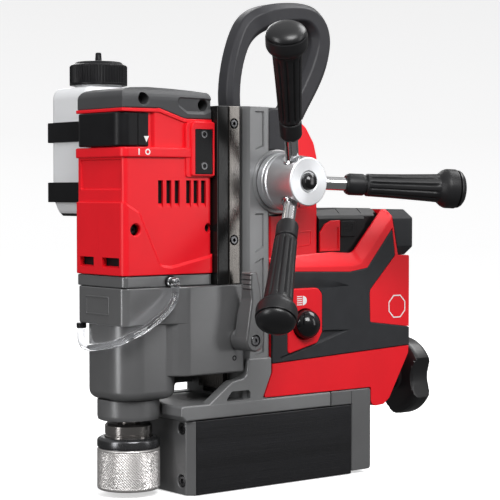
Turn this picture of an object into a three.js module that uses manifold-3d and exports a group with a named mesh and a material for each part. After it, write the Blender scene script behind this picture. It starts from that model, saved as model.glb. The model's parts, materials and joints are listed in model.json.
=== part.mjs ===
// Magnetic drill press: a cordless drill motor on a sliding carriage, a column with a rack
// feed, and a switchable permanent magnet as its foot.
// Millimetres, +Z up. The origin is the centre of the magnet's bottom face. The chuck is at
// the front (-Y), the battery at the rear (+Y) and the feed hub on the right (+X).
import * as THREE from 'three';
import Module from 'manifold-3d';
import { mergeVertices } from 'three/addons/utils/BufferGeometryUtils.js';

const wasm = await Module();
wasm.setup();

// ---- driving dimensions ------------------------------------------------------------------
const GAP = 0.3; // room kept between neighbouring pieces

const MAGNET = { halfX: 39.5, frontY: -88, rearY: 88, topZ: 54 };
const FRONT_PLATE_T = 5.5;
const CORNER = 5.2; // vertical chamfer on the magnet's front corners
const REAR_BLOCK = { frontY: 68, topZ: 65.5, stripY: 46.6 };
const ROTOR_R = 16; // rotary magnet
const ROTOR_Z = 27;
const MAGNET_GEAR = { teeth: 14, module: 2.9, y0: 76, width: 7 };
const KNOB_Z = ROTOR_Z + MAGNET_GEAR.teeth * MAGNET_GEAR.module;
const KNOB_R = 31.5;
const SCOOP_DEPTH = 8;
const KNOB_Y = [147, 167];

const PLATE_TOP = 65.5; // top of the column's foot plate
const COLUMN = { halfX: 37, frontY: -35, rearY: -12, topZ: 282 };
const HUB_AXIS = { y: -4.6, z: 226.4 };
const FEED_GEAR = { teeth: 10, module: 2, x0: 11.5, width: 9 };
const RACK = { x0: 11, x1: 21, z0: 72, z1: 246 };

const MOTOR = { halfX: 31, frontY: -139, rearY: -60.5, corner: 4, baseZ: 159.6, topZ: 250.5 };
const MOTOR_AXIS_Y = -98;
const VENT = { y: [-109, -101.7, -94.4, -84.3, -77.6, -70.9], width: 4, z0: 206, z1: 227 };
const SPINDLE_Y = -114.2;
const GEARCASE = { collarZ: 124, topZ: 151, lowZ: 70, bracketZ: 86.3, bracketRear: -36 };
const COUNTER = { x: -12.99, y: -108.97 }; // countershaft, 17 from the motor and 14 from the spindle
const CHUCK = { sleeveR: 23.1, bodyR: 17.15, boreR: 9.5, lowZ: 4 };

const HANDLE = { hubX: 55, tilt: 25.7, first: 117.3, rodR: 5, rodStart: 12, gripStart: 40 };
const LEVER = { y: -41.5, z: 111, boss: 8.2, x0: 37.4, x1: 57 };
const BOTTLE = { x: -63, y: -97.9, half: 27, corner: 8, lowZ: 202, topZ: 297, wall: 1.6 };
const HOUSING = { halfX: 39.5, towerHalfX: 34, wall: 3 };
const LAMP = { y: 19.3, z: 119, r: 11 };

// ---- colours -----------------------------------------------------------------------------
const finish = (color, roughness, metalness) => ({ color, roughness, metalness });
const RED = finish(0xd81e2c, 0.45, 0);
const CAST = finish(0x6c6d6f, 0.5, 0.35);
const OVERMOULD = finish(0x38393c, 0.75, 0);
const BLACK = finish(0x161617, 0.4, 0);
const STEEL = finish(0xb9bab8, 0.3, 0.95);
const DARK_STEEL = finish(0x2b2826, 0.25, 0.85);
const ALUMINIUM = finish(0xd4d6d8, 0.25, 0.95);
const BRASS = finish(0xb8923c, 0.35, 0.9);
const COPPER = finish(0xa9623a, 0.4, 0.8);
const CLEAR = finish(0xdfe3e6, 0.1, 0);
const WHITE = finish(0xe9eaec, 0.45, 0);
const GREEN = finish(0x1f5c3a, 0.5, 0);

// ---- geometry helpers --------------------------------------------------------------------
const circle = (r, steps = 24) =>
  new THREE.Shape(new THREE.EllipseCurve(0, 0, r, r, 0, 2 * Math.PI).getPoints(steps).slice(0, steps));
const polygon = (points) => new THREE.Shape(points.map(([a, b]) => new THREE.Vector2(a, b)));

function roundedRectangle(a0, a1, b0, b1, r) {
  const shape = new THREE.Shape();
  shape.moveTo(a0 + r, b0).lineTo(a1 - r, b0);
  shape.absarc(a1 - r, b0 + r, r, -Math.PI / 2, 0, false);
  shape.lineTo(a1, b1 - r).absarc(a1 - r, b1 - r, r, 0, Math.PI / 2, false);
  shape.lineTo(a0 + r, b1).absarc(a0 + r, b1 - r, r, Math.PI / 2, Math.PI, false);
  shape.lineTo(a0, b0 + r).absarc(a0 + r, b0 + r, r, Math.PI, 1.5 * Math.PI, false);
  return shape;
}

// A shape drawn in XY, pushed from z0 to z1.
function alongZ(shape, z0, z1, bevel = 0, curveSegments = 4) {
  const options = { depth: z1 - z0 - 2 * bevel, curveSegments, bevelEnabled: bevel > 0 };
  Object.assign(options, { bevelSize: bevel, bevelThickness: bevel, bevelSegments: 1, bevelOffset: -bevel });
  return new THREE.ExtrudeGeometry(shape, options).translate(0, 0, z0 + bevel);
}
// A shape drawn in YZ, pushed from x0 to x1.
function alongX(shape, x0, x1, bevel = 0, curveSegments = 4) {
  const turn = new THREE.Matrix4().makeBasis(
    new THREE.Vector3(0, 1, 0), new THREE.Vector3(0, 0, 1), new THREE.Vector3(1, 0, 0));
  return alongZ(shape, x0, x1, bevel, curveSegments).applyMatrix4(turn);
}
// A shape drawn in ZX, pushed from y0 to y1.
function alongY(shape, y0, y1, bevel = 0, curveSegments = 4) {
  const turn = new THREE.Matrix4().makeBasis(
    new THREE.Vector3(0, 0, 1), new THREE.Vector3(1, 0, 0), new THREE.Vector3(0, 1, 0));
  return alongZ(shape, y0, y1, bevel, curveSegments).applyMatrix4(turn);
}
const box = (x0, x1, y0, y1, z0, z1) =>
  new THREE.BoxGeometry(x1 - x0, y1 - y0, z1 - z0).translate((x0 + x1) / 2, (y0 + y1) / 2, (z0 + z1) / 2);

// A profile of [radius, height] points turned about +Z. It starts and ends on the axis, or closes.
function turned(profile, segments = 24) {
  const points = profile.map(([r, h]) => new THREE.Vector2(r, h));
  return new THREE.LatheGeometry(points, segments).rotateX(Math.PI / 2);
}
const rod = (r, h0, h1, segments = 24) => turned([[0, h0], [r, h0], [r, h1], [0, h1]], segments);
const ring = (inner, outer, h0, h1, segments = 24) =>
  turned([[inner, h0], [outer, h0], [outer, h1], [inner, h1], [inner, h0]], segments);

const zToX = (geometry) => geometry.rotateY(Math.PI / 2);
const zToY = (geometry) => geometry.rotateX(-Math.PI / 2);

function solid(geometry) {
  const plain = geometry.clone();
  plain.deleteAttribute('normal');
  plain.deleteAttribute('uv');
  const merged = mergeVertices(plain, 1e-4);
  const mesh = new wasm.Mesh({
    numProp: 3,
    vertProperties: new Float32Array(merged.attributes.position.array),
    triVerts: new Uint32Array(merged.index.array),
  });
  return new wasm.Manifold(mesh);
}
function surface(body) {
  const mesh = body.getMesh();
  const geometry = new THREE.BufferGeometry();
  geometry.setAttribute('position', new THREE.BufferAttribute(mesh.vertProperties, 3));
  geometry.setIndex(new THREE.BufferAttribute(mesh.triVerts, 1));
  geometry.computeVertexNormals();
  return geometry;
}
const cut = (geometry, ...tools) =>
  surface(tools.reduce((body, tool) => body.subtract(solid(tool)), solid(geometry)));
const join = (geometry, ...others) =>
  surface(others.reduce((body, other) => body.add(solid(other)), solid(geometry)));
const common = (a, b) => surface(solid(a).intersect(solid(b)));

// ---- gear teeth --------------------------------------------------------------------------
const PRESSURE = (28 * Math.PI) / 180;
const ADDENDUM = 0.8; // tooth height above the pitch line, in modules
const DEDENDUM = 1.1;
const involute = (a) => Math.tan(a) - a;

// Outline of a spur gear whose first tooth points along the angle phase.
function gearShape(teeth, module, phase = 0, backlash = 0.08) {
  const pitch = (teeth * module) / 2;
  const base = pitch * Math.cos(PRESSURE);
  const tip = pitch + ADDENDUM * module;
  const root = pitch - DEDENDUM * module;
  const half = (Math.PI / 2 - backlash) / teeth + involute(PRESSURE);
  const width = (r) => half - involute(Math.acos(Math.min(1, base / Math.max(r, base))));
  const radii = [root, pitch, tip];
  const shape = new THREE.Shape();
  for (let k = 0; k < teeth; k += 1) {
    const centre = phase + (k * 2 * Math.PI) / teeth;
    const flank = radii.map((r) => [r, centre - width(r)]);
    const back = [...radii].reverse().map((r) => [r, centre + width(r)]);
    [...flank, ...back].forEach(([r, a], i) => {
      const [x, y] = [r * Math.cos(a), r * Math.sin(a)];
      if (k === 0 && i === 0) shape.moveTo(x, y);
      else shape.lineTo(x, y);
    });
  }
  return shape;
}

// ---- the scene ---------------------------------------------------------------------------
const press = new THREE.Group();
press.name = 'magnetic_drill_press';

function add(name, geometry, look, parent = press) {
  const mesh = new THREE.Mesh(geometry, new THREE.MeshStandardMaterial(look));
  mesh.name = name;
  parent.add(mesh);
  return mesh;
}
// Builds a right-hand piece and its mirror image.
function pair(name, geometry, look) {
  add(`${name}_right`, geometry, look);
  const mirrored = surface(solid(geometry).mirror([1, 0, 0]));
  add(`${name}_left`, mirrored, look);
}

// ---- magnet foot -------------------------------------------------------------------------
function buildMagnet() {
  const { halfX, frontY, rearY, topZ } = MAGNET;
  const plateBack = frontY + FRONT_PLATE_T;
  const coreHalf = 20;
  const bodyRear = REAR_BLOCK.frontY - GAP;
  const bodyFront = plateBack + GAP;
  const bore = rod(ROTOR_R + 0.5, -200, 200, 22);
  const boreAlongY = zToY(bore).translate(0, 0, ROTOR_Z);
  pair('pole_plate', box(coreHalf + GAP, halfX, bodyFront, bodyRear, 0, topZ - 0.2), DARK_STEEL);
  add('magnet_core', cut(box(-coreHalf, coreHalf, bodyFront, bodyRear, 0, topZ - 0.2), boreAlongY), CAST);
  const front = polygon([
    [-halfX, plateBack], [-halfX, frontY + CORNER], [-halfX + CORNER, frontY],
    [halfX - CORNER, frontY], [halfX, frontY + CORNER], [halfX, plateBack],
  ]);
  add('magnet_front_plate', alongZ(front, 0, topZ - 0.2), CAST);

  const gearRoom = (z) => zToY(rod(23.4, MAGNET_GEAR.y0 - 2.5, MAGNET_GEAR.y0 + MAGNET_GEAR.width + 2.5, 22))
    .translate(0, 0, z);
  const block = join(
    box(-halfX, halfX, REAR_BLOCK.frontY, rearY, 2, REAR_BLOCK.topZ),
    box(-halfX, halfX, REAR_BLOCK.stripY + GAP, REAR_BLOCK.frontY + 1, topZ + GAP, REAR_BLOCK.topZ));
  const journal = zToY(rod(6.6, 60, 80, 16)).translate(0, 0, ROTOR_Z);
  const shaftHole = zToY(rod(6, 80, 100, 16)).translate(0, 0, KNOB_Z);
  const slot = box(-6, 6, 80, 100, KNOB_Z - 1, 80);
  add('magnet_rear_block', cut(block, gearRoom(ROTOR_Z), gearRoom(KNOB_Z), journal, shaftHole, slot), CAST);
}

// The magnet rotor turns half a turn; the knob turns it through a pair of gears.
function buildMagnetDrive() {
  const { teeth, module, y0, width } = MAGNET_GEAR;
  // Gear angles lie in the ZX plane: 0 points up.
  const rotor = join(
    zToY(rod(ROTOR_R, -80, 66, 22)), zToY(rod(6, 60, y0 + width + 1, 16)),
    alongY(gearShape(teeth, module, 0), y0, y0 + width));
  add('magnet_rotor', rotor.translate(0, 0, ROTOR_Z), DARK_STEEL);
  const upper = alongY(gearShape(teeth, module, Math.PI / teeth), y0, y0 + width);
  const shaft = zToY(rod(4.5, y0 - 1, KNOB_Y[0] + 8, 16));
  add('magnet_knob_shaft', join(upper, shaft).translate(0, 0, KNOB_Z), STEEL);

  // Three broad scoops are taken out of a round knob, and one of them faces +X.
  const scoops = 3;
  const half = Math.PI / 6;
  const chord = KNOB_R * Math.sin(half);
  const sag = SCOOP_DEPTH - KNOB_R * (1 - Math.cos(half));
  const scoopR = (chord ** 2 + sag ** 2) / (2 * sag);
  const away = KNOB_R - SCOOP_DEPTH + scoopR;
  const third = (2 * Math.PI) / scoops;
  const outline = new THREE.Shape();
  const steps = 48;
  for (let k = 0; k < steps; k += 1) {
    const a = (k * 2 * Math.PI) / steps;
    const turn = ((a - Math.PI / 2 + 2.5 * third) % third) - third / 2;
    const scooped = Math.abs(turn) < half;
    const r = scooped ? away * Math.cos(turn) - Math.sqrt(scoopR ** 2 - (away * Math.sin(turn)) ** 2) : KNOB_R;
    if (k === 0) outline.moveTo(r, 0);
    else outline.lineTo(r * Math.cos(a), r * Math.sin(a));
  }
  const knob = join(alongY(outline, KNOB_Y[0], KNOB_Y[1], 3), zToY(rod(11, 125, KNOB_Y[0] + 2, 20)));
  const socket = zToY(rod(4.5 + GAP, 100, KNOB_Y[0] + 9, 16));
  add('magnet_knob', cut(knob, socket).translate(0, 0, KNOB_Z), BLACK);
}

// ---- column ------------------------------------------------------------------------------
const DOVETAIL = { neck: 15, flare: 20, depthY: -29.4 };

function dovetailShape(clear, frontY) {
  const { neck, flare, depthY } = DOVETAIL;
  return polygon([
    [-neck - clear, frontY], [neck + clear, frontY], [neck + clear, -35], [flare + clear, depthY + clear],
    [-flare - clear, depthY + clear], [-neck - clear, -35],
  ]);
}

function buildColumn() {
  const { halfX, frontY, rearY, topZ } = COLUMN;
  const section = polygon([
    [-33, frontY], [33, frontY], [halfX, frontY + 4], [halfX, rearY], [25, rearY], [25, 8],
    [-25, 8], [-25, rearY], [-halfX, rearY], [-halfX, frontY + 4],
  ]);
  const plateFront = -95;
  const plate = alongX(polygon([
    [plateFront, 58], [plateFront + 4, MAGNET.topZ + GAP], [REAR_BLOCK.stripY, MAGNET.topZ + GAP],
    [REAR_BLOCK.stripY, PLATE_TOP], [plateFront, PLATE_TOP],
  ]), -MAGNET.halfX, MAGNET.halfX);
  const footOutline = polygon([
    [-70, PLATE_TOP - 1], [-48, 80.6], [-38, 82.2], [-35, 84], [-34, 96], [-12.1, 96], [-12.1, 84.2],
    [-20.1, 66.2], [-20.1, PLATE_TOP - 1],
  ]);
  const footHole = alongX(polygon([[-56, 66.2], [-50, 73], [-34, 73], [-32.5, 71], [-32.5, 66.2]]), -50, 50);
  const foot = (x0, x1) => cut(alongX(footOutline, x0, x1), footHole);
  const boss = zToX(rod(24, halfX - 4, halfX + 1.2, 22)).translate(0, HUB_AXIS.y, HUB_AXIS.z);
  const body = join(plate, alongZ(section, PLATE_TOP - 1, topZ), foot(30, 39.5), foot(-39.5, -30), boss);

  const tongueRoom = alongZ(dovetailShape(0.4, frontY - 1), PLATE_TOP + 2, topZ + 5);
  const rackRoom = box(RACK.x0 - 0.5, RACK.x1 + 0.5, DOVETAIL.depthY - 1, -12, PLATE_TOP + 2, topZ + 5);
  const pinionRoom = zToX(rod(13, RACK.x0 - 0.5, RACK.x1 + 0.5, 24)).translate(0, HUB_AXIS.y, HUB_AXIS.z);
  const shaftBore = zToX(rod(9.5, -22, 60, 20)).translate(0, HUB_AXIS.y, HUB_AXIS.z);
  const panel = (z0, z1) => box(halfX - 1.2, halfX + 1, -27, -15.5, z0, z1);
  const noseRoom = rod(24.5, 50, 80, 24).translate(0, SPINDLE_Y, 0);
  const panels = [panel(252, 277), panel(165, 200), panel(98, 160)];
  add('column_frame', cut(body, tongueRoom, rackRoom, pinionRoom, shaftBore, noseRoom, ...panels), CAST);

  const bush = ring(6.5, 9.2, -21.6, -6, 20);
  add('feed_bush_left', zToX(bush).translate(0, HUB_AXIS.y, HUB_AXIS.z), BRASS);
  add('feed_bush_right', zToX(ring(6.5, 9.2, 22.2, 36.8, 20)).translate(0, HUB_AXIS.y, HUB_AXIS.z), BRASS);
}

// ---- rear housing, battery and handle ----------------------------------------------------
// Outlines in YZ.
const LOWER_OUTLINE = [
  [-19.6, 66], [88.3, 66], [88.3, 50.5], [102, 51.5], [108, 56], [128.5, 90.5], [129.3, 100],
  [129.3, 168.7], [117, 168.7], [109.2, 205], [103, 205], [69, 168.4], [55, 164], [-11.6, 164], [-11.6, 84],
];
const TOWER_OUTLINE = [
  [-11.2, 160], [38, 160], [38, 245], [35, 256], [27, 268], [18, 274.5], [12, 274.5], [12, 247], [-11.2, 247],
];
const BUMPER_OUTLINE = [[109.6, 205], [117.4, 169], [126, 169], [132, 175], [132, 198], [126, 205]];
const ARMOUR_OUTLINE = [
  [-11.6, 91], [60, 94], [129.3, 97], [129.3, 111.5], [87, 117], [86.5, 142], [113.5, 168.7],
  [110.5, 190], [84, 159.5], [66, 157], [-11.6, 159.5],
];
const PANEL_OUTLINE = [[3, 97], [32, 104], [37, 112], [37, 141], [33, 146], [3, 146]];

// Moves an outline inward by the wall, square to each edge.
function inset(points, wall) {
  const n = points.length;
  return points.map((p, i) => {
    const [a, b] = [points[(i + n - 1) % n], points[(i + 1) % n]];
    const normal = (u, v) => {
      const length = Math.hypot(v[0] - u[0], v[1] - u[1]);
      return [-(v[1] - u[1]) / length, (v[0] - u[0]) / length];
    };
    const [m, q] = [normal(a, p), normal(p, b)];
    const share = wall / (1 + m[0] * q[0] + m[1] * q[1]);
    return [p[0] + (m[0] + q[0]) * share, p[1] + (m[1] + q[1]) * share];
  });
}

function buildRearHousing() {
  const { halfX, towerHalfX, wall } = HOUSING;
  const armourDepth = 2.2;
  const outer = join(
    alongX(polygon(LOWER_OUTLINE), GAP / 2, halfX),
    alongX(polygon(TOWER_OUTLINE), GAP / 2, towerHalfX));
  const cavity = join(
    alongX(polygon(inset(LOWER_OUTLINE, wall)), -1, halfX - wall - armourDepth),
    alongX(polygon(inset(TOWER_OUTLINE, wall)), -1, towerHalfX - wall),
    box(-1, towerHalfX - wall, -8, 35, 150, 200));
  const bay = box(-1, 32.4, 41, 106, 118, 260);
  const coreRoom = box(-1, 25.4, -30, 8.4, 60, 290); // room for the column's rear web
  const cheekRoom = box(-1, halfX - 2.1, -30, -11.7, 60, 90);
  const hubRoom = zToX(rod(26, 24, 60, 24)).translate(0, HUB_AXIS.y, HUB_AXIS.z);
  const shaftRoom = zToY(rod(5.3, 84, 135, 16)).translate(0, 0, KNOB_Z);
  const gearRoom = zToY(rod(23.6, 72, 87, 22)).translate(0, 0, KNOB_Z);
  const armourRoom = alongX(polygon(inset(ARMOUR_OUTLINE, -GAP)), halfX - armourDepth - GAP, halfX + 1);
  const lampRoom = zToX(rod(LAMP.r + 0.4, 20, 50, 20)).translate(0, LAMP.y, LAMP.z);
  const shell = cut(outer, cavity, bay, coreRoom, cheekRoom, shaftRoom, gearRoom, armourRoom);
  add('rear_housing_right', cut(shell, hubRoom, lampRoom), RED);
  add('rear_housing_left', surface(solid(shell).mirror([1, 0, 0])), RED);

  const armour = alongX(polygon(ARMOUR_OUTLINE), halfX - armourDepth, halfX);
  const panelRoom = alongX(polygon(inset(PANEL_OUTLINE, -GAP)), 30, 50);
  add('side_armour_right', cut(armour, panelRoom), OVERMOULD);
  add('side_armour_left', surface(solid(armour).mirror([1, 0, 0])), OVERMOULD);
  const panel = alongX(polygon(PANEL_OUTLINE), halfX - armourDepth, halfX);
  add('control_panel', cut(panel, lampRoom), RED);
  const dome = [[0, 34.3], [8, 34.3], [8, 36], [LAMP.r, 36], [LAMP.r, 44], [9.4, 48.5], [6, 51.3], [0, 52.4]];
  add('lamp_button', zToX(turned(dome, 20)).translate(0, LAMP.y, LAMP.z), BLACK);

  const bumper = alongX(polygon(BUMPER_OUTLINE), -halfX, halfX);
  add('guard_bumper', bumper, BLACK);
  add('controller_board', box(-28, 28, 12, 14, 175, 240), GREEN);
  add('battery_terminals', box(-20, 20, 50, 92, 100, 117.5), BLACK);
}

function buildBattery() {
  const side = polygon([[42, 120], [80, 120], [101, 145], [101, 176], [104.6, 203], [42, 203]]);
  const pack = alongX(side, -30, 30, 2);
  const latchRoom = (x0, x1) => box(x0, x1, 55, 79, 183.7, 199.3);
  add('battery_pack', cut(pack, latchRoom(24.4, 40), latchRoom(-40, -24.4)), BLACK);
  add('battery_latch_right', box(27, 31.4, 55.3, 78.7, 184, 199), RED);
  add('battery_latch_left', box(-31.4, -27, 55.3, 78.7, 184, 199), RED);
}

// One loop of round-cornered bar on the column's top, with a saddle over the tower.
function buildCarryHandle() {
  const outer = new THREE.Shape();
  outer.moveTo(-27.8, 282.4).bezierCurveTo(-31, 300, -24, 330, -15, 345);
  outer.bezierCurveTo(-8, 357, 5, 361, 20, 363.5).bezierCurveTo(35, 365.5, 50, 366, 58, 362);
  outer.bezierCurveTo(72, 354, 76, 342, 73, 328).bezierCurveTo(69, 306, 56, 293, 45, 275.3);
  outer.lineTo(11.6, 275.3).lineTo(11.6, 247.4).lineTo(-11.2, 247.4).lineTo(-11.2, 282.4);
  const inner = new THREE.Shape();
  inner.moveTo(-16, 286).bezierCurveTo(-18, 300, -12, 322, -4, 332);
  inner.bezierCurveTo(4, 341, 15, 345, 30, 347).bezierCurveTo(45, 349, 52, 348, 55, 338);
  inner.bezierCurveTo(58, 322, 46, 302, 34, 286);
  const loop = cut(alongX(outer, -12, 12, 3, 5), alongX(inner, -20, 20, 0, 5));
  const lowerCut = box(-20, 20, -40, -11.4, 230, 282.4);
  const towerRoom = box(-40, 40, 11.3, 60, 230, 275);
  const saddle = box(-34, 34, -11.2, 11.6, 247.4, 281.5);
  const rackSide = box(9.4, 40, -60, -11.4, 282.4, 420); // keeps the raised rack's path clear
  const otherSide = box(-40, -9.4, -60, -11.4, 282.4, 420);
  const webRoom = box(-25.4, 25.4, -30, 8.4, 200, 282.3);
  const bossRoom = zToX(rod(24.6, 30, 50, 24)).translate(0, HUB_AXIS.y, HUB_AXIS.z);
  const rooms = [lowerCut, towerRoom, rackSide, otherSide, webRoom, bossRoom];
  add('carry_handle', cut(join(loop, saddle), ...rooms), OVERMOULD);
}

// ---- sliding carriage --------------------------------------------------------------------
function motorFootprint(grow = 0) {
  const { halfX, frontY, rearY, corner } = MOTOR;
  return roundedRectangle(-halfX - grow, halfX + grow, frontY - grow, rearY + grow, corner + grow);
}

function buildSlide() {
  const plate = box(-36, 36, -60, -39.3, 151.3, 281.5);
  const tongue = alongZ(dovetailShape(0, -39.4), 72, 281.5);
  add('dovetail_rail', join(plate, tongue), DARK_STEEL);

  const pitchY = HUB_AXIS.y - (FEED_GEAR.teeth * FEED_GEAR.module) / 2;
  const m = FEED_GEAR.module;
  const step = Math.PI * m;
  const half = step / 4 - 0.05 * m;
  const run = Math.tan(PRESSURE);
  const tip = pitchY + ADDENDUM * m;
  const root = pitchY - DEDENDUM * m;
  const teeth = [];
  const first = Math.ceil((RACK.z0 + 3 - HUB_AXIS.z) / step - 0.5);
  const last = Math.floor((RACK.z1 - 3 - HUB_AXIS.z) / step - 0.5);
  for (let k = first; k <= last; k += 1) {
    const z = HUB_AXIS.z + (k + 0.5) * step;
    const [low, high] = [half + DEDENDUM * m * run, half - ADDENDUM * m * run];
    teeth.push([root, z - low], [tip, z - high], [tip, z + high], [root, z + low]);
  }
  const back = DOVETAIL.depthY + GAP;
  const outline = [[back, RACK.z0], [root, RACK.z0], ...teeth, [root, RACK.z1], [back, RACK.z1]];
  add('feed_rack', alongX(polygon(outline), RACK.x0 + GAP, RACK.x1 - GAP), STEEL);
}

function buildGearCase() {
  const { collarZ, topZ, lowZ, bracketZ, bracketRear } = GEARCASE;
  const flare = polygon([
    [-27, -139], [27, -139], [31, -135], [31, -104], [33, -96], [37, -87], [37, bracketRear],
    [24, bracketRear], [24, -39.7], [-24, -39.7], [-24, bracketRear], [-37, bracketRear], [-37, -87],
    [-33, -96], [-31, -104], [-31, -135],
  ]);
  const bracket = polygon([
    [-30, -92], [30, -92], [37, -84], [37, bracketRear], [24, bracketRear], [24, -39.7],
    [-24, -39.7], [-24, bracketRear], [-37, bracketRear], [-37, -84],
  ]);
  const nose = roundedRectangle(-28.5, 28.5, -138.4, -84, 19.5);
  const body = join(
    alongZ(flare, collarZ, topZ), alongZ(bracket, bracketZ, collarZ + 1),
    alongZ(nose, lowZ, collarZ + 8, 4, 6), box(-28.5, 28.5, -110, -84, lowZ + 4, collarZ + 1));
  const gearRoom = box(-28, 28, -135, -62, collarZ + 3, topZ + 5);
  const bore = rod(14, lowZ - 5, collarZ + 5, 24).translate(0, SPINDLE_Y, 0);
  const hollow = box(-30, 30, -58, -44, bracketZ - 5, 140);
  add('gear_housing', cut(body, gearRoom, bore, hollow), CAST);

  const seat = rod(9.6, 140, 170, 20).translate(0, MOTOR_AXIS_Y, 0);
  add('motor_flange', cut(alongZ(motorFootprint(), topZ + GAP, MOTOR.baseZ - GAP), seat), CAST);
  const lip = [[9.4, 55.5], [21.6, 54.3], [22.9, 57], [22.9, lowZ - GAP], [9.4, lowZ - GAP], [9.4, 55.5]];
  add('nose_ring', turned(lip, 22).translate(0, SPINDLE_Y, 0), CAST);
}

function buildMotor() {
  const { halfX, baseZ, topZ } = MOTOR;
  const wall = 2.6;
  const neck = polygon([
    [-27, -127], [-22, -132], [22, -132], [27, -127], [27, -113], [29, -111], [29, -61], [-29, -61],
    [-29, -111], [-27, -113],
  ]);
  const upperSide = polygon([
    [-140, 245], [-140, 277.5], [-108, 277.5], [-108, 280], [-97, 280], [-82, 271], [-61, 271], [-61, 245],
  ]);
  const upper = common(alongZ(neck, 240, 290), alongX(upperSide, -40, 40));
  const lip = cut(alongZ(motorFootprint(1.2), 243, topZ), box(-50, 50, -84, 0, 200, 300));
  const outer = join(alongZ(motorFootprint(), baseZ, topZ), lip, upper);
  const room = join(
    alongZ(roundedRectangle(-halfX + wall, halfX - wall, -136.2, -63, 3), baseZ - 5, 247),
    alongZ(roundedRectangle(-24.4, 24.4, -129.4, -65, 3), 240, 268));
  const vents = [];
  for (const x of [-40, 25]) {
    for (const y of VENT.y) vents.push(box(x, x + 15, y, y + VENT.width, VENT.z0, VENT.z1));
  }
  const frontVents = [box(-24, -6, -145, -134, 165, 172), box(5, 26.5, -145, -134, 165, 172)];
  const shell = cut(outer, room, ...vents, ...frontVents);
  add('motor_housing_right', common(shell, box(GAP / 2, 60, -160, -40, 150, 300)), RED);
  add('motor_housing_left', common(shell, box(-60, -GAP / 2, -160, -40, 150, 300)), RED);

  const capSide = polygon([
    [-138.5, 278], [-138.5, 284], [-130, 290], [-112, 293.5], [-94, 294], [-76, 290.5], [-64, 287],
    [-60.6, 281], [-60.6, 271.4], [-81.8, 271.4], [-96.8, 280.4], [-108.4, 280.4], [-108.4, 278],
  ]);
  add('top_cap', alongX(capSide, -29.5, 29.5, 3), OVERMOULD);
  add('tool_mount_plate', box(halfX + GAP, halfX + 2.2, -78.2, -62.6, 231.8, 264), BLACK);

  const armLength = 25;
  const front = -141.5;
  const paddle = roundedRectangle(-29, 29, front, front + armLength + 12, 9);
  const gap = roundedRectangle(-27.4, 27.4, front + 6.2, front + 60, 7);
  const behind = box(-40, 40, front + armLength, front + 80, 240, 290);
  add('motor_switch', cut(alongZ(paddle, 251.2, 275), alongZ(gap, 240, 290), behind), BLACK);
}

// Brushless motor, two-stage reduction and the spindle.
function buildDrive() {
  const at = (geometry, x, y) => geometry.translate(x, y, 0);
  add('stator', at(ring(15, 26, 172, 226, 22), 0, MOTOR_AXIS_Y), COPPER);
  add('rotor_bearing_lower', at(ring(3.6, 9.2, 152, 158.5, 20), 0, MOTOR_AXIS_Y), STEEL);
  add('rotor_bearing_upper', at(ring(3.6, 9.2, 232, 239, 20), 0, MOTOR_AXIS_Y), STEEL);
  const toCounter = Math.atan2(COUNTER.y - MOTOR_AXIS_Y, COUNTER.x);
  const toSpindle = Math.atan2(SPINDLE_Y - COUNTER.y, -COUNTER.x);
  const [small, big, driven] = [8, 26, 20];
  const rotor = join(
    rod(3, 148, 241, 16), rod(14, 174, 224, 20), rod(19, 162, 165, 20), alongZ(gearShape(small, 1, toCounter), 141, 149));
  add('motor_rotor', at(rotor, 0, MOTOR_AXIS_Y), STEEL);
  const counter = join(
    rod(2.4, 127.4, 150.8, 12), alongZ(gearShape(big, 1, toCounter + Math.PI + Math.PI / big), 141.5, 147.5),
    alongZ(gearShape(small, 1, toSpindle), 128.6, 142));
  add('countershaft_gear', at(counter, COUNTER.x, COUNTER.y), STEEL);
  const spindleGear = alongZ(gearShape(driven, 1, toSpindle + Math.PI + Math.PI / driven), 129, 138.5);
  add('spindle_gear', at(cut(spindleGear, rod(6.3, 120, 150, 16)), 0, SPINDLE_Y), STEEL);
  add('spindle_bearing', at(ring(8.6, 13.6, 74, 84, 24), 0, SPINDLE_Y), STEEL);
  const { bodyR, boreR, sleeveR, lowZ } = CHUCK;
  const shaft = [
    [0, 46], [boreR, 46], [boreR, lowZ + 2], [bodyR, lowZ + 2], [bodyR, 50.5], [bodyR - 1.5, 52.5],
    [8, 52.5], [8, 126], [6, 126], [6, 139], [0, 139],
  ];
  add('spindle', at(turned(shaft, 22), 0, SPINDLE_Y), STEEL);
  const sleeve = [
    [bodyR + 0.6, lowZ], [sleeveR - 1.2, lowZ], [sleeveR, lowZ + 1.5], [sleeveR, 33.5], [sleeveR - 0.8, 34],
    [sleeveR - 0.2, 35], [sleeveR - 0.2, 40.5], [sleeveR - 1.6, 42], [bodyR + 0.6, 42], [bodyR + 0.6, lowZ],
  ];
  add('chuck_sleeve', at(turned(sleeve, 22), 0, SPINDLE_Y), STEEL);
}

function buildLockLever() {
  const { y, z, boss, x0, x1 } = LEVER;
  const arm = polygon([
    [-boss, 0], [-3.2, 30], [-3.4, 50], [1.6, 50], [4.8, 38], [8.2, 14], [boss, 0], [0, -4],
  ]);
  const lever = join(
    alongX(arm, x1 - 16, x1).translate(0, y, z), zToX(rod(boss, x0, x1, 20)).translate(0, y, z));
  const head = zToX(rod(4.2, x1 - 2.6, x1 + 5, 12)).translate(0, y, z);
  add('lock_lever', cut(lever, head), CAST);
  add('lever_screw', zToX(rod(3.8, x1 - 2.2, x1 + 0.4, 12)).translate(0, y, z), DARK_STEEL);
}

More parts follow.
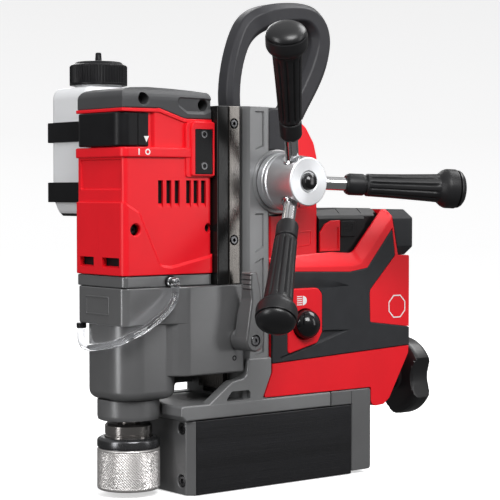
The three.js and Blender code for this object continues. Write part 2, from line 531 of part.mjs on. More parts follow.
// ---- feed hub and its three handles ------------------------------------------------------
function buildFeed() {
  const feed = new THREE.Group();
  feed.position.set(0, HUB_AXIS.y, HUB_AXIS.z);
  press.add(feed);
  // Angles in the YZ plane from +Y: a tooth points to the rack, along -Y.
  const pinion = alongX(gearShape(FEED_GEAR.teeth, FEED_GEAR.module, Math.PI),
    FEED_GEAR.x0, FEED_GEAR.x0 + FEED_GEAR.width);
  const shaft = zToX(rod(6.1, -21, 60, 20));
  add('feed_pinion_shaft', join(pinion, shaft), STEEL, feed);

  const rods = new THREE.Group();
  rods.position.set(HANDLE.hubX, 0, 0);
  feed.add(rods);
  const tilt = (HANDLE.tilt * Math.PI) / 180;
  const directions = [0, 1, 2].map((k) => {
    const around = (HANDLE.first * Math.PI) / 180 - (k * 2 * Math.PI) / 3;
    return new THREE.Vector3(
      Math.sin(tilt), Math.cos(tilt) * Math.cos(around), Math.cos(tilt) * Math.sin(around));
  });
  const turnTo = (direction) => new THREE.Quaternion().setFromUnitVectors(new THREE.Vector3(0, 0, 1), direction);
  const place = (geometry, direction) =>
    geometry.applyQuaternion(turnTo(direction)).translate(HANDLE.hubX, 0, 0);

  const hubProfile = [[0, 38.8], [21.4, 38.8], [21.4, 48.5], [18.2, 72], [16.6, 72.8], [0, 72.8]];
  const bores = directions.map((d) => place(rod(HANDLE.rodR + GAP, HANDLE.rodStart - 0.5, 60, 16), d));
  const button = [[0, 68.6], [6.2, 68.6], [6.2, 72.8], [5.6, 75.4], [3.4, 77.2], [0, 77.8]];
  const hub = cut(zToX(turned(hubProfile, 26)), zToX(rod(6.4, 30, 61, 20)),
    zToX(rod(6.5, 68.2, 80, 16)), ...bores);
  add('feed_hub', hub, ALUMINIUM, feed);
  add('hub_button', zToX(turned(button, 16)), BLACK, feed);

  const g = HANDLE.gripStart;
  const gripProfile = [
    [0, g + 30], [HANDLE.rodR + GAP, g + 30], [HANDLE.rodR + GAP, g], [7, g], [7.9, g + 1.5], [7.9, g + 14],
    [7.5, g + 14.6], [8.1, g + 15.4], [10.6, g + 70], [13.2, g + 74], [14.7, g + 78], [14.7, g + 86],
    [11.5, g + 90], [6.5, g + 92.6], [0, g + 93.3],
  ];
  directions.forEach((direction, k) => {
    const holder = new THREE.Group();
    holder.quaternion.copy(turnTo(direction));
    rods.add(holder);
    add(`handle_rod_${k + 1}`, rod(HANDLE.rodR, HANDLE.rodStart, g + 29.5, 16), STEEL, holder);
    add(`handle_grip_${k + 1}`, turned(gripProfile, 16), OVERMOULD, holder);
  });
}

// ---- coolant bottle, its bracket and the hose --------------------------------------------
function buildCoolant() {
  const { x, y, half, corner, lowZ, topZ, wall } = BOTTLE;
  const square = (grow) => roundedRectangle(x - half - grow, x + half + grow, y - half - grow, y + half + grow,
    corner + grow);
  const neckR = 17.5;
  const outer = join(alongZ(square(0), lowZ, topZ, 5, 2), rod(neckR, topZ - 8, topZ + 12, 24).translate(x, y, 0));
  const inner = join(
    alongZ(square(-wall), lowZ + wall, topZ - wall, 4, 2),
    rod(neckR - wall, topZ - 10, topZ + 20, 24).translate(x, y, 0));
  add('coolant_bottle', cut(outer, inner), WHITE);
  const cap = join(
    ring(neckR + 0.8, 22, topZ + 2, topZ + 16, 22), rod(22, topZ + 13, topZ + 20, 22),
    rod(2.5, topZ + 19, topZ + 27, 12));
  add('bottle_cap', cap.translate(x, y, 0), BLACK);

  const band = (z0, z1) => cut(alongZ(square(1.7), z0, z1, 0, 3), alongZ(square(0.3), z0 - 1, z1 + 1, 0, 3));
  const back = join(
    box(x + half + 0.8, -MOTOR.halfX - 1.6, y - 12, y + 12, 211, 271),
    box(x + half + 1, -MOTOR.halfX - 0.4, y - 8, y + 8, 213, 239));
  const clear = alongZ(square(0.3), 200, 280, 0, 3);
  add('bottle_bracket', cut(join(band(211, 226), band(256, 271), back), clear), BLACK);

  // The clear hose runs round the front of the gear housing, below its collar.
  const route = [
    [37.6, -99.5, 147], [37.6, -99.7, 144.9], [37.7, -100.8, 142.1], [37.9, -103.8, 139], [38.1, -109.5, 135.9],
    [38.2, -119.5, 131.8], [37.4, -129.8, 127], [32.2, -138.6, 121.4], [22, -142.4, 116.4], [8, -143, 111.8],
    [-3, -143.1, 109.6], [-11.6, -142.6, 109], [-18.4, -141.3, 109.9], [-23.4, -139.4, 112.9],
    [-26, -137.7, 116.9], [-26.4, -137.4, 119.2],
  ];
  const curve = new THREE.CatmullRomCurve3(route.map((p) => new THREE.Vector3(...p)), false, 'centripetal');
  const hose = new THREE.ExtrudeGeometry(circle(2.65, 8), { steps: 22, extrudePath: curve });
  add('coolant_hose', hose, CLEAR);
  const elbow = join(
    zToX(rod(3.2, 31.3, 40.6, 12)).translate(0, -99.5, 155), rod(3.1, 147.4, 157, 12).translate(37.6, -99.5, 0));
  add('hose_elbow', elbow, CLEAR);
  add('hose_connector', rod(3.6, 119.9, 123.7, 12).translate(-26.4, -137.4, 0), BLACK);
}

buildMagnet();
buildMagnetDrive();
buildColumn();
buildRearHousing();
buildBattery();
buildCarryHandle();
buildSlide();
buildGearCase();
buildMotor();
buildDrive();
buildLockLever();
buildFeed();
buildCoolant();

export default press;
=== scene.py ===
"""The looks of the magnetic drill press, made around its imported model.

Lengths in this script are millimetres in the model's own frame: +Z up, -Y towards the chuck, +X towards
the feed hub. They become metres where a mesh is made. The camera and the lights are placed in metres.
"""
import json
import math

import bmesh
import bpy
from mathutils import Matrix, Vector


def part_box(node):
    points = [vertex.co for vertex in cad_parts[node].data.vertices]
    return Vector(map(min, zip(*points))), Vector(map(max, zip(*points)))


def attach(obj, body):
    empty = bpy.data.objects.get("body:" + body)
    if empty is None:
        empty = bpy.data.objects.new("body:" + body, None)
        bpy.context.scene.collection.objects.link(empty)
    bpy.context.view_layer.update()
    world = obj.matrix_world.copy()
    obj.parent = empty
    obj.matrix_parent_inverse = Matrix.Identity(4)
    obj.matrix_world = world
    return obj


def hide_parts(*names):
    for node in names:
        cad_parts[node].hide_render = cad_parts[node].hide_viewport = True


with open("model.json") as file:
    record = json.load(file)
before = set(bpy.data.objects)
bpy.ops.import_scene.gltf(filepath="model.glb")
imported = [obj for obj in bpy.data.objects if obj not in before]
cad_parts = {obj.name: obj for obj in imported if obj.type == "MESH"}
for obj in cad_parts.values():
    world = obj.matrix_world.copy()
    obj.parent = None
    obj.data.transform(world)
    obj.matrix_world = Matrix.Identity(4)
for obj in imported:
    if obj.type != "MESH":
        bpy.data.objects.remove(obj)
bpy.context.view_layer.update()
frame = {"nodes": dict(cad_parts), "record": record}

MM = 0.001


def span(node):
    """Lowest and highest corner of a CAD node, in millimetres."""
    low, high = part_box(node)
    return low / MM, high / MM


# ---- places taken from the frame ----
MAGNET_HIGH = span("pole_plate_right")[1]
FRONT_LOW, FRONT_HIGH = span("magnet_front_plate")
BLOCK_LOW, BLOCK_HIGH = span("magnet_rear_block")
COLUMN_LOW, COLUMN_HIGH = span("column_frame")
RAIL_LOW, RAIL_HIGH = span("dovetail_rail")
GEAR_LOW, GEAR_HIGH = span("gear_housing")
FLANGE_LOW, FLANGE_HIGH = span("motor_flange")
CAP_LOW, CAP_HIGH = span("top_cap")
NOSE_LOW, NOSE_HIGH = span("nose_ring")
SLEEVE_LOW, SLEEVE_HIGH = span("chuck_sleeve")
KNOB_LOW, KNOB_HIGH = span("magnet_knob")
HUB_LOW, HUB_HIGH = span("feed_hub")
BOTTLE_LOW, BOTTLE_HIGH = span("coolant_bottle")
BOTTLE_CAP_LOW, BOTTLE_CAP_HIGH = span("bottle_cap")
LEVER_LOW, LEVER_HIGH = span("lock_lever")
LAMP_LOW, LAMP_HIGH = span("lamp_button")
PACK_LOW, PACK_HIGH = span("battery_pack")

SPINDLE = Vector((0, (NOSE_LOW.y + NOSE_HIGH.y) / 2, 0))
HUB_CENTRE = (HUB_LOW + HUB_HIGH) / 2
HUB_AT = Vector((0, HUB_CENTRE.y, HUB_CENTRE.z))
KNOB_CENTRE = (KNOB_LOW + KNOB_HIGH) / 2
LAMP_CENTRE = (LAMP_LOW + LAMP_HIGH) / 2
LAMP_AT = Vector((0, LAMP_CENTRE.y, LAMP_CENTRE.z))
BOTTLE_CENTRE = (BOTTLE_LOW + BOTTLE_HIGH) / 2
HALF = MAGNET_HIGH.x  # half width of the foot and of the rear housing
MOTOR_HALF = FLANGE_HIGH.x
COLUMN_HALF = 37.0
TOWER_HALF = 34.0
SEAM = 0.15  # half of the gap between two housing halves
X, Y, Z = Vector((1, 0, 0)), Vector((0, 1, 0)), Vector((0, 0, 1))
SIDES = (("right", 1), ("left", -1))
BODY_OF = {node: body for body, nodes in frame["record"]["behaviour"]["bodies"].items() for node in nodes}


# ---- outlines ----
def area(points):
    return sum(a[0] * b[1] - b[0] * a[1] for a, b in zip(points, points[1:] + points[:1])) / 2


def inset(points, depth):
    """Moves an anticlockwise polygon inward, square to each edge."""
    moved = []
    for i, p in enumerate(points):
        p = Vector(p)
        u = (p - Vector(points[i - 1])).normalized()
        v = (Vector(points[(i + 1) % len(points)]) - p).normalized()
        m, n = Vector((-u.y, u.x)), Vector((-v.y, v.x))
        moved.append(tuple(p + (m + n) * (depth / max(0.3, 1 + m.dot(n)))))
    return moved


class Outline:
    """A polygon with rounded corners. It can be drawn smaller or larger, and its corners stay true."""

    def __init__(self, corners, radius=0.0, steps=4):
        self.corners = [tuple(c) for c in corners]
        self.radii = list(radius) if isinstance(radius, (list, tuple)) else [radius] * len(self.corners)
        self.steps = steps
        if area(self.corners) < 0:
            self.corners.reverse()
            self.radii.reverse()

    def at(self, depth=0.0):
        corners = inset(self.corners, depth)
        points = []
        for i, (corner, radius) in enumerate(zip(corners, self.radii)):
            if radius <= 0:
                points.append(corner)
                continue
            p = Vector(corner)
            to_a, to_b = Vector(corners[i - 1]) - p, Vector(corners[(i + 1) % len(corners)]) - p
            outward = to_a.x * to_b.y - to_a.y * to_b.x < 0
            radius = max(0.05, radius - depth if outward else radius + depth)
            half = to_a.angle(to_b) / 2
            reach = min(radius / math.tan(half), 0.48 * to_a.length, 0.48 * to_b.length)
            radius = reach * math.tan(half)
            centre = p + (to_a.normalized() + to_b.normalized()).normalized() * (radius / math.sin(half))
            start = p + to_a.normalized() * reach - centre
            sweep = (math.pi - 2 * half) * (1 if outward else -1)
            for k in range(self.steps + 1):
                turn = Matrix.Rotation(sweep * k / self.steps, 2)
                points.append(tuple(centre + turn @ start))
        return points


def rectangle(a0, a1, b0, b1, radius=0.0, steps=4):
    return Outline([(a0, b0), (a1, b0), (a1, b1), (a0, b1)], radius, steps)


def disc(centre_a, centre_b, radius, count=48, phase=0.0):
    turns = (k * math.tau / count + phase for k in range(count))
    return Outline([(centre_a + radius * math.cos(t), centre_b + radius * math.sin(t)) for t in turns])


def bezier_path(start, *curves, steps=10):
    points = [start]
    for a, b, end in curves:
        start = points[-1]
        for k in range(1, steps + 1):
            t = k / steps
            share = ((1 - t) ** 3, 3 * t * (1 - t) ** 2, 3 * t * t * (1 - t), t ** 3)
            points.append(tuple(sum(w * v for w, v in zip(share, along)) for along in zip(start, a, b, end)))
    return points


# ---- solids ----
PLACE = {
    "X": lambda a, b, depth: (depth, a, b),
    "Y": lambda a, b, depth: (a, depth, b),
    "Z": lambda a, b, depth: (a, b, depth),
}


def placed(name, data):
    """A new object in the scene."""
    thing = bpy.data.objects.new(name, data)
    bpy.context.scene.collection.objects.link(thing)
    return thing


def loft(rings, closed=False, caps=True):
    """Rings of equally many points, joined in order. The end ones are filled unless the loft closes."""
    count = len(rings[0])
    points = [Vector(p) * MM for ring in rings for p in ring]
    faces = []
    for i in range(len(rings) if closed else len(rings) - 1):
        j = (i + 1) % len(rings)
        for k in range(count):
            m = (k + 1) % count
            faces.append((i * count + k, i * count + m, j * count + m, j * count + k))
    if caps and not closed:
        faces.append(tuple(reversed(range(count))))
        faces.append(tuple(range((len(rings) - 1) * count, len(rings) * count)))
    mesh = bpy.data.meshes.new("solid")
    mesh.from_pydata(points, [], faces)
    work = bmesh.new()
    work.from_mesh(mesh)
    bmesh.ops.remove_doubles(work, verts=work.verts, dist=1e-7)
    bmesh.ops.connect_verts_nonplanar(work, faces=work.faces, angle_limit=math.radians(0.2))
    bmesh.ops.recalc_face_normals(work, faces=work.faces)
    work.to_mesh(mesh)
    work.free()
    return placed("solid", mesh)


def stack(outline, axis, levels):
    """An outline drawn at several (depth along the axis, inset)."""
    place = PLACE[axis]
    return loft([[place(a, b, depth) for a, b in outline.at(shrink)] for depth, shrink in levels])


def prism(outline, axis, low, high, rim=0.0, steps=3):
    """An outline pushed along an axis, its two rims rounded."""
    if not isinstance(outline, Outline):
        outline = Outline(outline)
    levels = [(low, 0), (high, 0)]
    if rim:
        turns = [math.pi / 2 * k / steps for k in range(steps + 1)]
        levels = [(low + rim * (1 - math.cos(t)), rim * (1 - math.sin(t))) for t in turns]
        levels += [(high - rim * (1 - math.cos(t)), rim * (1 - math.sin(t))) for t in reversed(turns)]
    return stack(outline, axis, levels)


def block(low, high, corner=0.0, rim=0.0, steps=4):
    """A box, plain or with its upright corners and its rims rounded."""
    return prism(rectangle(low[0], high[0], low[1], high[1], corner, steps), "Z", low[2], high[2], rim)


def lathe(profile, origin=(0, 0, 0), axis=Z, count=72, shape=None, closed=False):
    """A profile of (radius, height) turned about an axis. shape() may give each point another radius."""
    axis = Vector(axis).normalized()
    side = X if abs(axis.z) > 0.99 else axis.orthogonal().normalized()
    other = axis.cross(side)
    rings = []
    for radius, height in profile:
        ring = []
        for k in range(count):
            turn = k * math.tau / count
            r = shape(radius, height, turn) if shape else radius
            spot = Vector(origin) + axis * height + side * (r * math.cos(turn))
            ring.append(spot + other * (r * math.sin(turn)))
        rings.append(ring)
    return loft(rings, closed)


def drill(radius, low, high, origin, axis, count=48):
    return lathe([(0, low), (radius, low), (radius, high), (0, high)], origin, axis, count)


def countersunk(radius, depth, lip, origin, axis):
    """A cutter for a blind hole with a small chamfer at its mouth."""
    profile = [(0, -depth), (radius, -depth), (radius, -lip), (radius + lip, 0), (radius + lip, 2), (0, 2)]
    return lathe(profile, origin, axis, 48)


def baked(piece):
    """The mesh that the piece's modifiers make of it."""
    graph = bpy.context.evaluated_depsgraph_get()
    return bpy.data.meshes.new_from_object(piece.evaluated_get(graph))


def boolean(piece, tools, operation):
    for tool in tools:
        for solver in ("MANIFOLD", "EXACT"):
            modifier = piece.modifiers.new("join", "BOOLEAN")
            modifier.operation = operation
            modifier.solver = solver
            modifier.object = tool
            mesh = baked(piece)
            piece.modifiers.clear()
            if len(mesh.polygons):
                break
        piece.data = mesh
        bpy.data.objects.remove(tool)
    return piece


def cut(piece, *tools):
    return boolean(piece, tools, "DIFFERENCE")


def join(piece, *tools):
    return boolean(piece, tools, "UNION")


def common(piece, *tools):
    return boolean(piece, tools, "INTERSECT")


def copy_of(piece, mirror=False):
    twin = placed("solid", piece.data.copy())
    if mirror:
        twin.data.transform(Matrix.Diagonal((-1, 1, 1, 1)))
        twin.data.flip_normals()
    return twin


def merge(pieces):
    """Several separate solids as one piece."""
    work = bmesh.new()
    for piece in pieces:
        work.from_mesh(piece.data)
        bpy.data.objects.remove(piece)
    mesh = bpy.data.meshes.new("solid")
    work.to_mesh(mesh)
    work.free()
    return placed("solid", mesh)


def trim(name, piece, material, body, sharp=32):
    """Cleans, shades, names and paints a piece, and puts it on its body."""
    piece.name = name
    work = bmesh.new()
    work.from_mesh(piece.data)
    bmesh.ops.remove_doubles(work, verts=work.verts, dist=2e-6)
    bmesh.ops.dissolve_degenerate(work, edges=work.edges, dist=2e-6)
    bmesh.ops.dissolve_limit(work, angle_limit=math.radians(0.25), verts=work.verts, edges=work.edges)
    work.to_mesh(piece.data)
    work.free()
    piece.data.polygons.foreach_set("use_smooth", [True] * len(piece.data.polygons))
    piece.data.set_sharp_from_angle(angle=math.radians(sharp))
    weight = piece.modifiers.new("weight", "WEIGHTED_NORMAL")
    weight.keep_sharp = True
    weight.weight = 80
    piece.data = baked(piece)
    piece.modifiers.clear()
    piece.data.materials.clear()
    piece.data.materials.append(material)
    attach(piece, body)
    return piece


def stand_in(node, piece, material, sharp=32):
    """Shows a piece in place of the CAD node that it is named after, on the same body."""
    trim(f"{node}_fine", piece, material, BODY_OF[node], sharp=sharp)
    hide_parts(node)


def paint(material, *nodes):
    """Shades kept CAD nodes."""
    for node in nodes:
        mesh = frame["nodes"][node].data
        mesh.materials.clear()
        mesh.materials.append(material)
        mesh.polygons.foreach_set("use_smooth", [True] * len(mesh.polygons))
        mesh.set_sharp_from_angle(angle=math.radians(30))


def screw(name, place, axis, radius, depth, material, body, socket=0.5):
    """A socket-head screw whose outer face is at place, looking along axis."""
    head = [(0, -depth), (radius, -depth), (radius, -radius * 0.14), (radius * 0.86, 0), (0, 0)]
    piece = lathe(head, place, axis, 40)
    hexagon = lathe([(0, -depth * 0.6), (radius * socket, -depth * 0.6), (radius * socket, 1), (0, 1)],
                    place, axis, 6)
    return trim(name, cut(piece, hexagon), material, body)


# ---- materials ----
def plain(name, colour, roughness, metallic=0.0, **sockets):
    material = bpy.data.materials.new(name)
    material.use_nodes = True
    shader = material.node_tree.nodes["Principled BSDF"]
    shader.inputs["Base Color"].default_value = (*colour, 1)
    shader.inputs["Roughness"].default_value = roughness
    shader.inputs["Metallic"].default_value = metallic
    for socket, value in sockets.items():
        shader.inputs[socket.replace("_", " ")].default_value = value
    return material


def textured(name, colour, roughness, metallic=0.0, grain=900.0, bump=0.05, tint=0.05, spread=0.08,
             stretch=(1, 1, 1), radial=None, **sockets):
    """A surface whose colour, roughness and height vary.

    grain is features per metre, stretch squeezes axes, radial is the axis that tool marks run round.
    """
    material = plain(name, colour, roughness, metallic, **sockets)
    tree = material.node_tree
    nodes, links = tree.nodes, tree.links
    shader = nodes["Principled BSDF"]
    shader.inputs["Coat Roughness"].default_value = 0.12
    place = nodes.new("ShaderNodeTexCoord")
    mapping = nodes.new("ShaderNodeMapping")
    mapping.inputs["Scale"].default_value = stretch
    links.new(place.outputs["Object"], mapping.inputs["Vector"])

    def noise(scale, detail):
        node = nodes.new("ShaderNodeTexNoise")
        node.inputs["Scale"].default_value = scale
        node.inputs["Detail"].default_value = detail
        links.new(mapping.outputs["Vector"], node.inputs["Vector"])
        return node.outputs["Fac"]

    broad, fine = noise(grain / 40, 3), noise(grain, 5)
    ramp = nodes.new("ShaderNodeValToRGB")
    ramp.color_ramp.elements[0].position, ramp.color_ramp.elements[1].position = 0.3, 0.7
    ramp.color_ramp.elements[0].color = (*(c * (1 - tint) for c in colour), 1)
    ramp.color_ramp.elements[1].color = (*(min(1, c * (1 + tint)) for c in colour), 1)
    links.new(broad, ramp.inputs["Fac"])
    links.new(ramp.outputs["Color"], shader.inputs["Base Color"])
    rough = nodes.new("ShaderNodeMapRange")
    rough.inputs["To Min"].default_value = max(0.02, roughness - spread)
    rough.inputs["To Max"].default_value = min(1, roughness + spread)
    links.new(fine, rough.inputs["Value"])
    links.new(rough.outputs["Result"], shader.inputs["Roughness"])
    relief = nodes.new("ShaderNodeBump")
    relief.inputs["Strength"].default_value = 1
    relief.inputs["Distance"].default_value = bump * MM
    links.new(fine, relief.inputs["Height"])
    links.new(relief.outputs["Normal"], shader.inputs["Normal"])
    if radial:
        tangent = nodes.new("ShaderNodeTangent")
        tangent.direction_type = "RADIAL"
        tangent.axis = radial
        links.new(tangent.outputs["Tangent"], shader.inputs["Tangent"])
    return material


DULL = {"Specular_IOR_Level": 0.25}
RED = textured("red_moulded", (0.78, 0.008, 0.017), 0.36, grain=1500, bump=0.012, tint=0.03,
    Specular_IOR_Level=0.3)
RED_SATIN = textured("red_satin", (0.74, 0.008, 0.017), 0.46, grain=2200, bump=0.02, tint=0.03, **DULL)
CAST = textured("grey_cast_paint", (0.165, 0.166, 0.169), 0.31, 0.45, grain=1300, bump=0.02, tint=0.05)
# A lighter copy of the grey cast paint for the column: its extra lightness is painted light, standing in for
# the light that falls on the column.
CAST_LIT_COPY = textured("grey_cast_paint_lit_copy", (0.23, 0.232, 0.236), 0.34, 0.4, grain=1300, bump=0.02, tint=0.04)
PLATE_GREY = textured("grey_plate", (0.06, 0.061, 0.064), 0.42, grain=1600, bump=0.02, tint=0.05, **DULL)
OVERMOULD = textured("soft_overmould", (0.026, 0.027, 0.03), 0.58, grain=3200, bump=0.05, tint=0.08, **DULL)
GRIP = textured("grip_rubber", (0.015, 0.015, 0.016), 0.4, grain=3600, bump=0.03, tint=0.15, **DULL)
GRIP_END = textured("grip_end", (0.011, 0.011, 0.012), 0.33, grain=1800, bump=0.01, tint=0.1)
HANDLE_SKIN = textured("handle_soft_plastic", (0.034, 0.034, 0.038), 0.42, grain=2600, bump=0.03, tint=0.08,
    **DULL)
BLACK = textured("black_moulded", (0.008, 0.008, 0.009), 0.36, grain=2600, bump=0.02, tint=0.15,
                 Specular_IOR_Level=0.16)
GLOSS_BLACK = textured("gloss_black", (0.006, 0.006, 0.007), 0.14, grain=700, bump=0.006, spread=0.04)
BRUSHED_BLACK = textured(
    "brushed_black_steel", (0.012, 0.012, 0.014), 0.4, 0.35, grain=60, bump=0.1, tint=0.4, spread=0.14,
    stretch=(1, 0.5, 45))
RAIL_BLACK = textured("black_rail", (0.008, 0.008, 0.008), 0.24, grain=500, bump=0.005, tint=0.2, **DULL)
RAIL_GROUND = textured("ground_rail", (0.12, 0.112, 0.105), 0.26, 1, grain=160, bump=0.01, tint=0.45,
                       spread=0.08, stretch=(8, 8, 0.5))
STEEL = textured("turned_steel", (0.42, 0.4, 0.385), 0.2, 1, grain=240, bump=0.015, tint=0.06, spread=0.06,
                 stretch=(1, 1, 30))
NICKEL = textured("nickel_knurl", (0.6, 0.58, 0.57), 0.4, 0.8, grain=800, bump=0.01, tint=0.06)
CHROME = textured("satin_chrome", (0.74, 0.74, 0.75), 0.14, 1, grain=500, bump=0.004, tint=0.02, spread=0.04)
ALUMINIUM = textured("turned_aluminium", (0.7, 0.71, 0.73), 0.34, 0.8, grain=60, bump=0.01, tint=0.05,
                     spread=0.06, stretch=(40, 1, 1), radial="X", Anisotropic=0.75)
DARK_STEEL = textured("blackened_screw", (0.11, 0.11, 0.115), 0.25, 0.9, grain=1200, bump=0.02, tint=0.2)
BRASS = textured("bronze_bush", (0.5, 0.33, 0.14), 0.35, 1, grain=900, bump=0.02)
COPPER = textured("copper_winding", (0.3, 0.13, 0.06), 0.4, 0.8, grain=700, bump=0.2, tint=0.25,
    stretch=(1, 1, 6))
BOARD = textured("circuit_board", (0.02, 0.14, 0.06), 0.4, grain=1500, bump=0.02)
WHITE_MARK = textured("white_print", (0.8, 0.8, 0.8), 0.5, grain=2500, bump=0.01, tint=0.02)
BOTTLE_SKIN = textured(
    "translucent_bottle", (0.8, 0.81, 0.83), 0.38, grain=500, bump=0.02, tint=0.02,
    Subsurface_Weight=0.35, Subsurface_Radius=(0.01, 0.01, 0.01), Subsurface_Scale=0.5)
HOSE_SKIN = textured(
    "clear_hose", (0.84, 0.85, 0.87), 0.1, grain=200, bump=0.001, tint=0.02, spread=0.02,
    Transmission_Weight=1.0, IOR=1.4)


# ---- camera, floor and light ----
def build_stage():
    camera = placed("camera", bpy.data.cameras.new("camera"))
    bpy.context.scene.camera = camera
    camera.location = (0.9885, -0.7878, 0.2203)
    azimuth, down = math.radians(51.5), math.radians(2.083)
    forward = Vector((-math.sin(azimuth) * math.cos(down), math.cos(azimuth) * math.cos(down),
        -math.sin(down)))
    camera.rotation_mode = "QUATERNION"
    camera.rotation_quaternion = forward.to_track_quat("-Z", "Y")
    camera.data.sensor_width = 36
    camera.data.lens = 118.8
    camera.data.clip_start, camera.data.clip_end = 0.05, 60

    rise = ((0.01, -0.6), (2600, -0.6), (3300, 60), (3900, 380), (4200, 1000), (4200, 2600))
    turns = [k * math.tau / 96 for k in range(96)]
    floor = loft([[(r * math.cos(a), r * math.sin(a), z) for a in turns] for r, z in rise], caps=False)
    floor.name = "studio_floor"
    floor.data.polygons.foreach_set("use_smooth", [True] * len(floor.data.polygons))
    white = (0.9, 0.9, 0.905)
    floor.data.materials.append(plain("studio_white", white, 0.9, Emission_Color=(1, 1, 1, 1),
        Emission_Strength=0.56))
    floor.visible_diffuse = False
    floor.visible_glossy = False

    world = bpy.data.worlds.new("studio")
    bpy.context.scene.world = world
    world.use_nodes = True
    # The soft light of the room is brightest overhead.
    tree = world.node_tree
    direction = tree.nodes.new("ShaderNodeTexCoord")
    parts = tree.nodes.new("ShaderNodeSeparateXYZ")
    ramp = tree.nodes.new("ShaderNodeValToRGB")
    ramp.color_ramp.elements[0].color = (0.13, 0.13, 0.13, 1)
    ramp.color_ramp.elements[1].color = (0.6, 0.6, 0.6, 1)
    tree.links.new(direction.outputs["Generated"], parts.inputs["Vector"])
    tree.links.new(parts.outputs["Z"], ramp.inputs["Fac"])
    tree.links.new(ramp.outputs["Color"], tree.nodes["Background"].inputs["Color"])

    target = Vector((0, -0.01, 0.18))
    for name, place, size, power in (
        ("key", (1.05, -0.35, 1.05), (0.7, 0.6), 17),
        ("side", (1.1, 0.75, 0.5), (0.3, 1.0), 3),
        ("front", (0.1, -1.4, 0.45), (0.35, 1.1), 9),
        ("rim", (0.15, 0.95, 1.3), (0.9, 0.6), 11),
        ("left", (-1.2, 0.5, 0.8), (0.5, 0.8), 4),
    ):
        light = bpy.data.lights.new(name, "AREA")
        light.shape = "RECTANGLE"
        light.size, light.size_y = size
        light.energy = power
        lamp = placed(name, light)
        lamp.location = place
        lamp.rotation_euler = (target - Vector(place)).to_track_quat("-Z", "Y").to_euler()
        lamp.visible_camera = False
    bpy.context.scene.view_settings.view_transform = "Standard"


# ---- magnet foot ----
GEAR_ROOM = 23.4  # radius of the room round each of the magnet's two gears
SHAFT_Z = KNOB_CENTRE.z
ROTOR_Z = 27.0


def build_foot():
    for hand, _ in SIDES:
        node = f"pole_plate_{hand}"
        stand_in(node, block(*span(node), 0.7, 0.7), BRUSHED_BLACK)
    low, high = FRONT_LOW, FRONT_HIGH
    corner = 5.2
    outline = [(low.x, high.y), (low.x, low.y + corner), (low.x + corner, low.y),
               (high.x - corner, low.y), (high.x, low.y + corner), (high.x, high.y)]
    plate = prism(Outline(outline, [0.5, 2, 2, 2, 2, 0.5]), "Z", low.z, high.z, 0.8)
    holes = [Vector((x, low.y, z)) for x in (-29, 29) for z in (9.7, 47.9)]
    stand_in("magnet_front_plate", cut(plate, *(countersunk(4.6, 3.5, 0.6, hole, -Y) for hole in holes)),
        CAST)
    for i, hole in enumerate(holes):
        screw(f"front_plate_screw_{i + 1}", hole + Y * 0.5, -Y, 4.1, 2.6, DARK_STEEL, "base")

    low, high = BLOCK_LOW, BLOCK_HIGH
    strip_z = MAGNET_HIGH.z + 0.5
    front = high.y - 20
    side = [(low.y, strip_z), (front, strip_z), (front, low.z), (high.y, low.z), (high.y, high.z),
        (low.y, high.z)]
    rear = prism(Outline(side, [0, 0, 1.2, 2.4, 2.4, 1.2]), "X", -HALF, HALF, 0.9)
    rooms = [drill(GEAR_ROOM, 73.5, 85.5, (0, 0, z), Y) for z in (ROTOR_Z, SHAFT_Z)]
    rooms += [drill(6.6, 60, 80, (0, 0, ROTOR_Z), Y, 32), drill(6, 80, 100, (0, 0, SHAFT_Z), Y, 32)]
    rooms.append(block((-6, 80, SHAFT_Z - 1), (6, 100, 80)))
    stand_in("magnet_rear_block", cut(rear, *rooms), CAST)
    for hand, sign in SIDES:
        seam = prism(rectangle(front - 0.5, front - 0.1, strip_z + 0.6, high.z - 0.9), "X",
                     *sorted((sign * (HALF - 0.2), sign * (HALF + 0.03))))
        trim(f"block_seam_{hand}", seam, BLACK, "base")


def build_knob():
    """A round knob with three broad scoops, one of them toward +X."""
    outer = (KNOB_HIGH.z - KNOB_LOW.z) / 2
    low, high = KNOB_LOW.y, KNOB_HIGH.y
    front = high - 20  # the wheel begins here, and a round neck runs forward of it

    third, half, depth = math.tau / 3, math.pi / 6, 8
    chord, sag = outer * math.sin(half), depth - outer * (1 - math.cos(half))
    scoop_r = (chord ** 2 + sag ** 2) / (2 * sag)
    away = outer - depth + scoop_r
    side = Y.orthogonal().normalized()
    toward_x = math.atan2(X.dot(Y.cross(side)), X.dot(side))

    def scooped(radius, height, turn):
        turn = (turn - toward_x + 2.5 * third) % third - third / 2
        if abs(turn) > half:
            return radius
        limit = away * math.cos(turn) - math.sqrt(scoop_r ** 2 - (away * math.sin(turn)) ** 2)
        lip = 1.6 * max(0, 1 - min(height - front, high - height) / 2.2)
        return min(radius, limit - lip * math.cos(turn / half * math.pi / 2))

    profile = [(4.8, low), (10.4, low), (11, low + 0.6), (11, front - 1.2), (12.4, front)]
    profile += [(outer * r, front + y) for r, y in (
        (0.62, 0), (0.8, 0.2), (0.91, 1.2), (0.97, 2.6), (0.995, 4.4), (1.0, 6.5), (1.0, 14.5), (0.99, 16.4),
        (0.96, 18), (0.9, 19.3), (0.8, 19.9), (0.7, 20), (0.6, 19.8), (0.52, 19.2), (0.45, 18.8))]
    profile += [(0, high - 1.2), (0, front + 8.9), (4.8, front + 8.9)]
    body = lathe(profile, (0, 0, KNOB_CENTRE.z), Y, 180, scooped, closed=True)
    stand_in("magnet_knob", body, GRIP_END, sharp=24)
    cap = [(0, high - 3), (12.6, high - 3), (12.6, high - 0.9), (11.8, high - 0.2), (0, high)]
    trim("magnet_knob_cap", lathe(cap, (0, 0, KNOB_CENTRE.z), Y, 64), BLACK, "magnet_knob")


# ---- column ----
def dovetail(clear, front):
    neck, flare, depth = 15, 20, -29.4
    return [(-neck - clear, front), (neck + clear, front), (neck + clear, -35),
        (flare + clear, depth + clear), (-flare - clear, depth + clear), (-neck - clear, -35)]


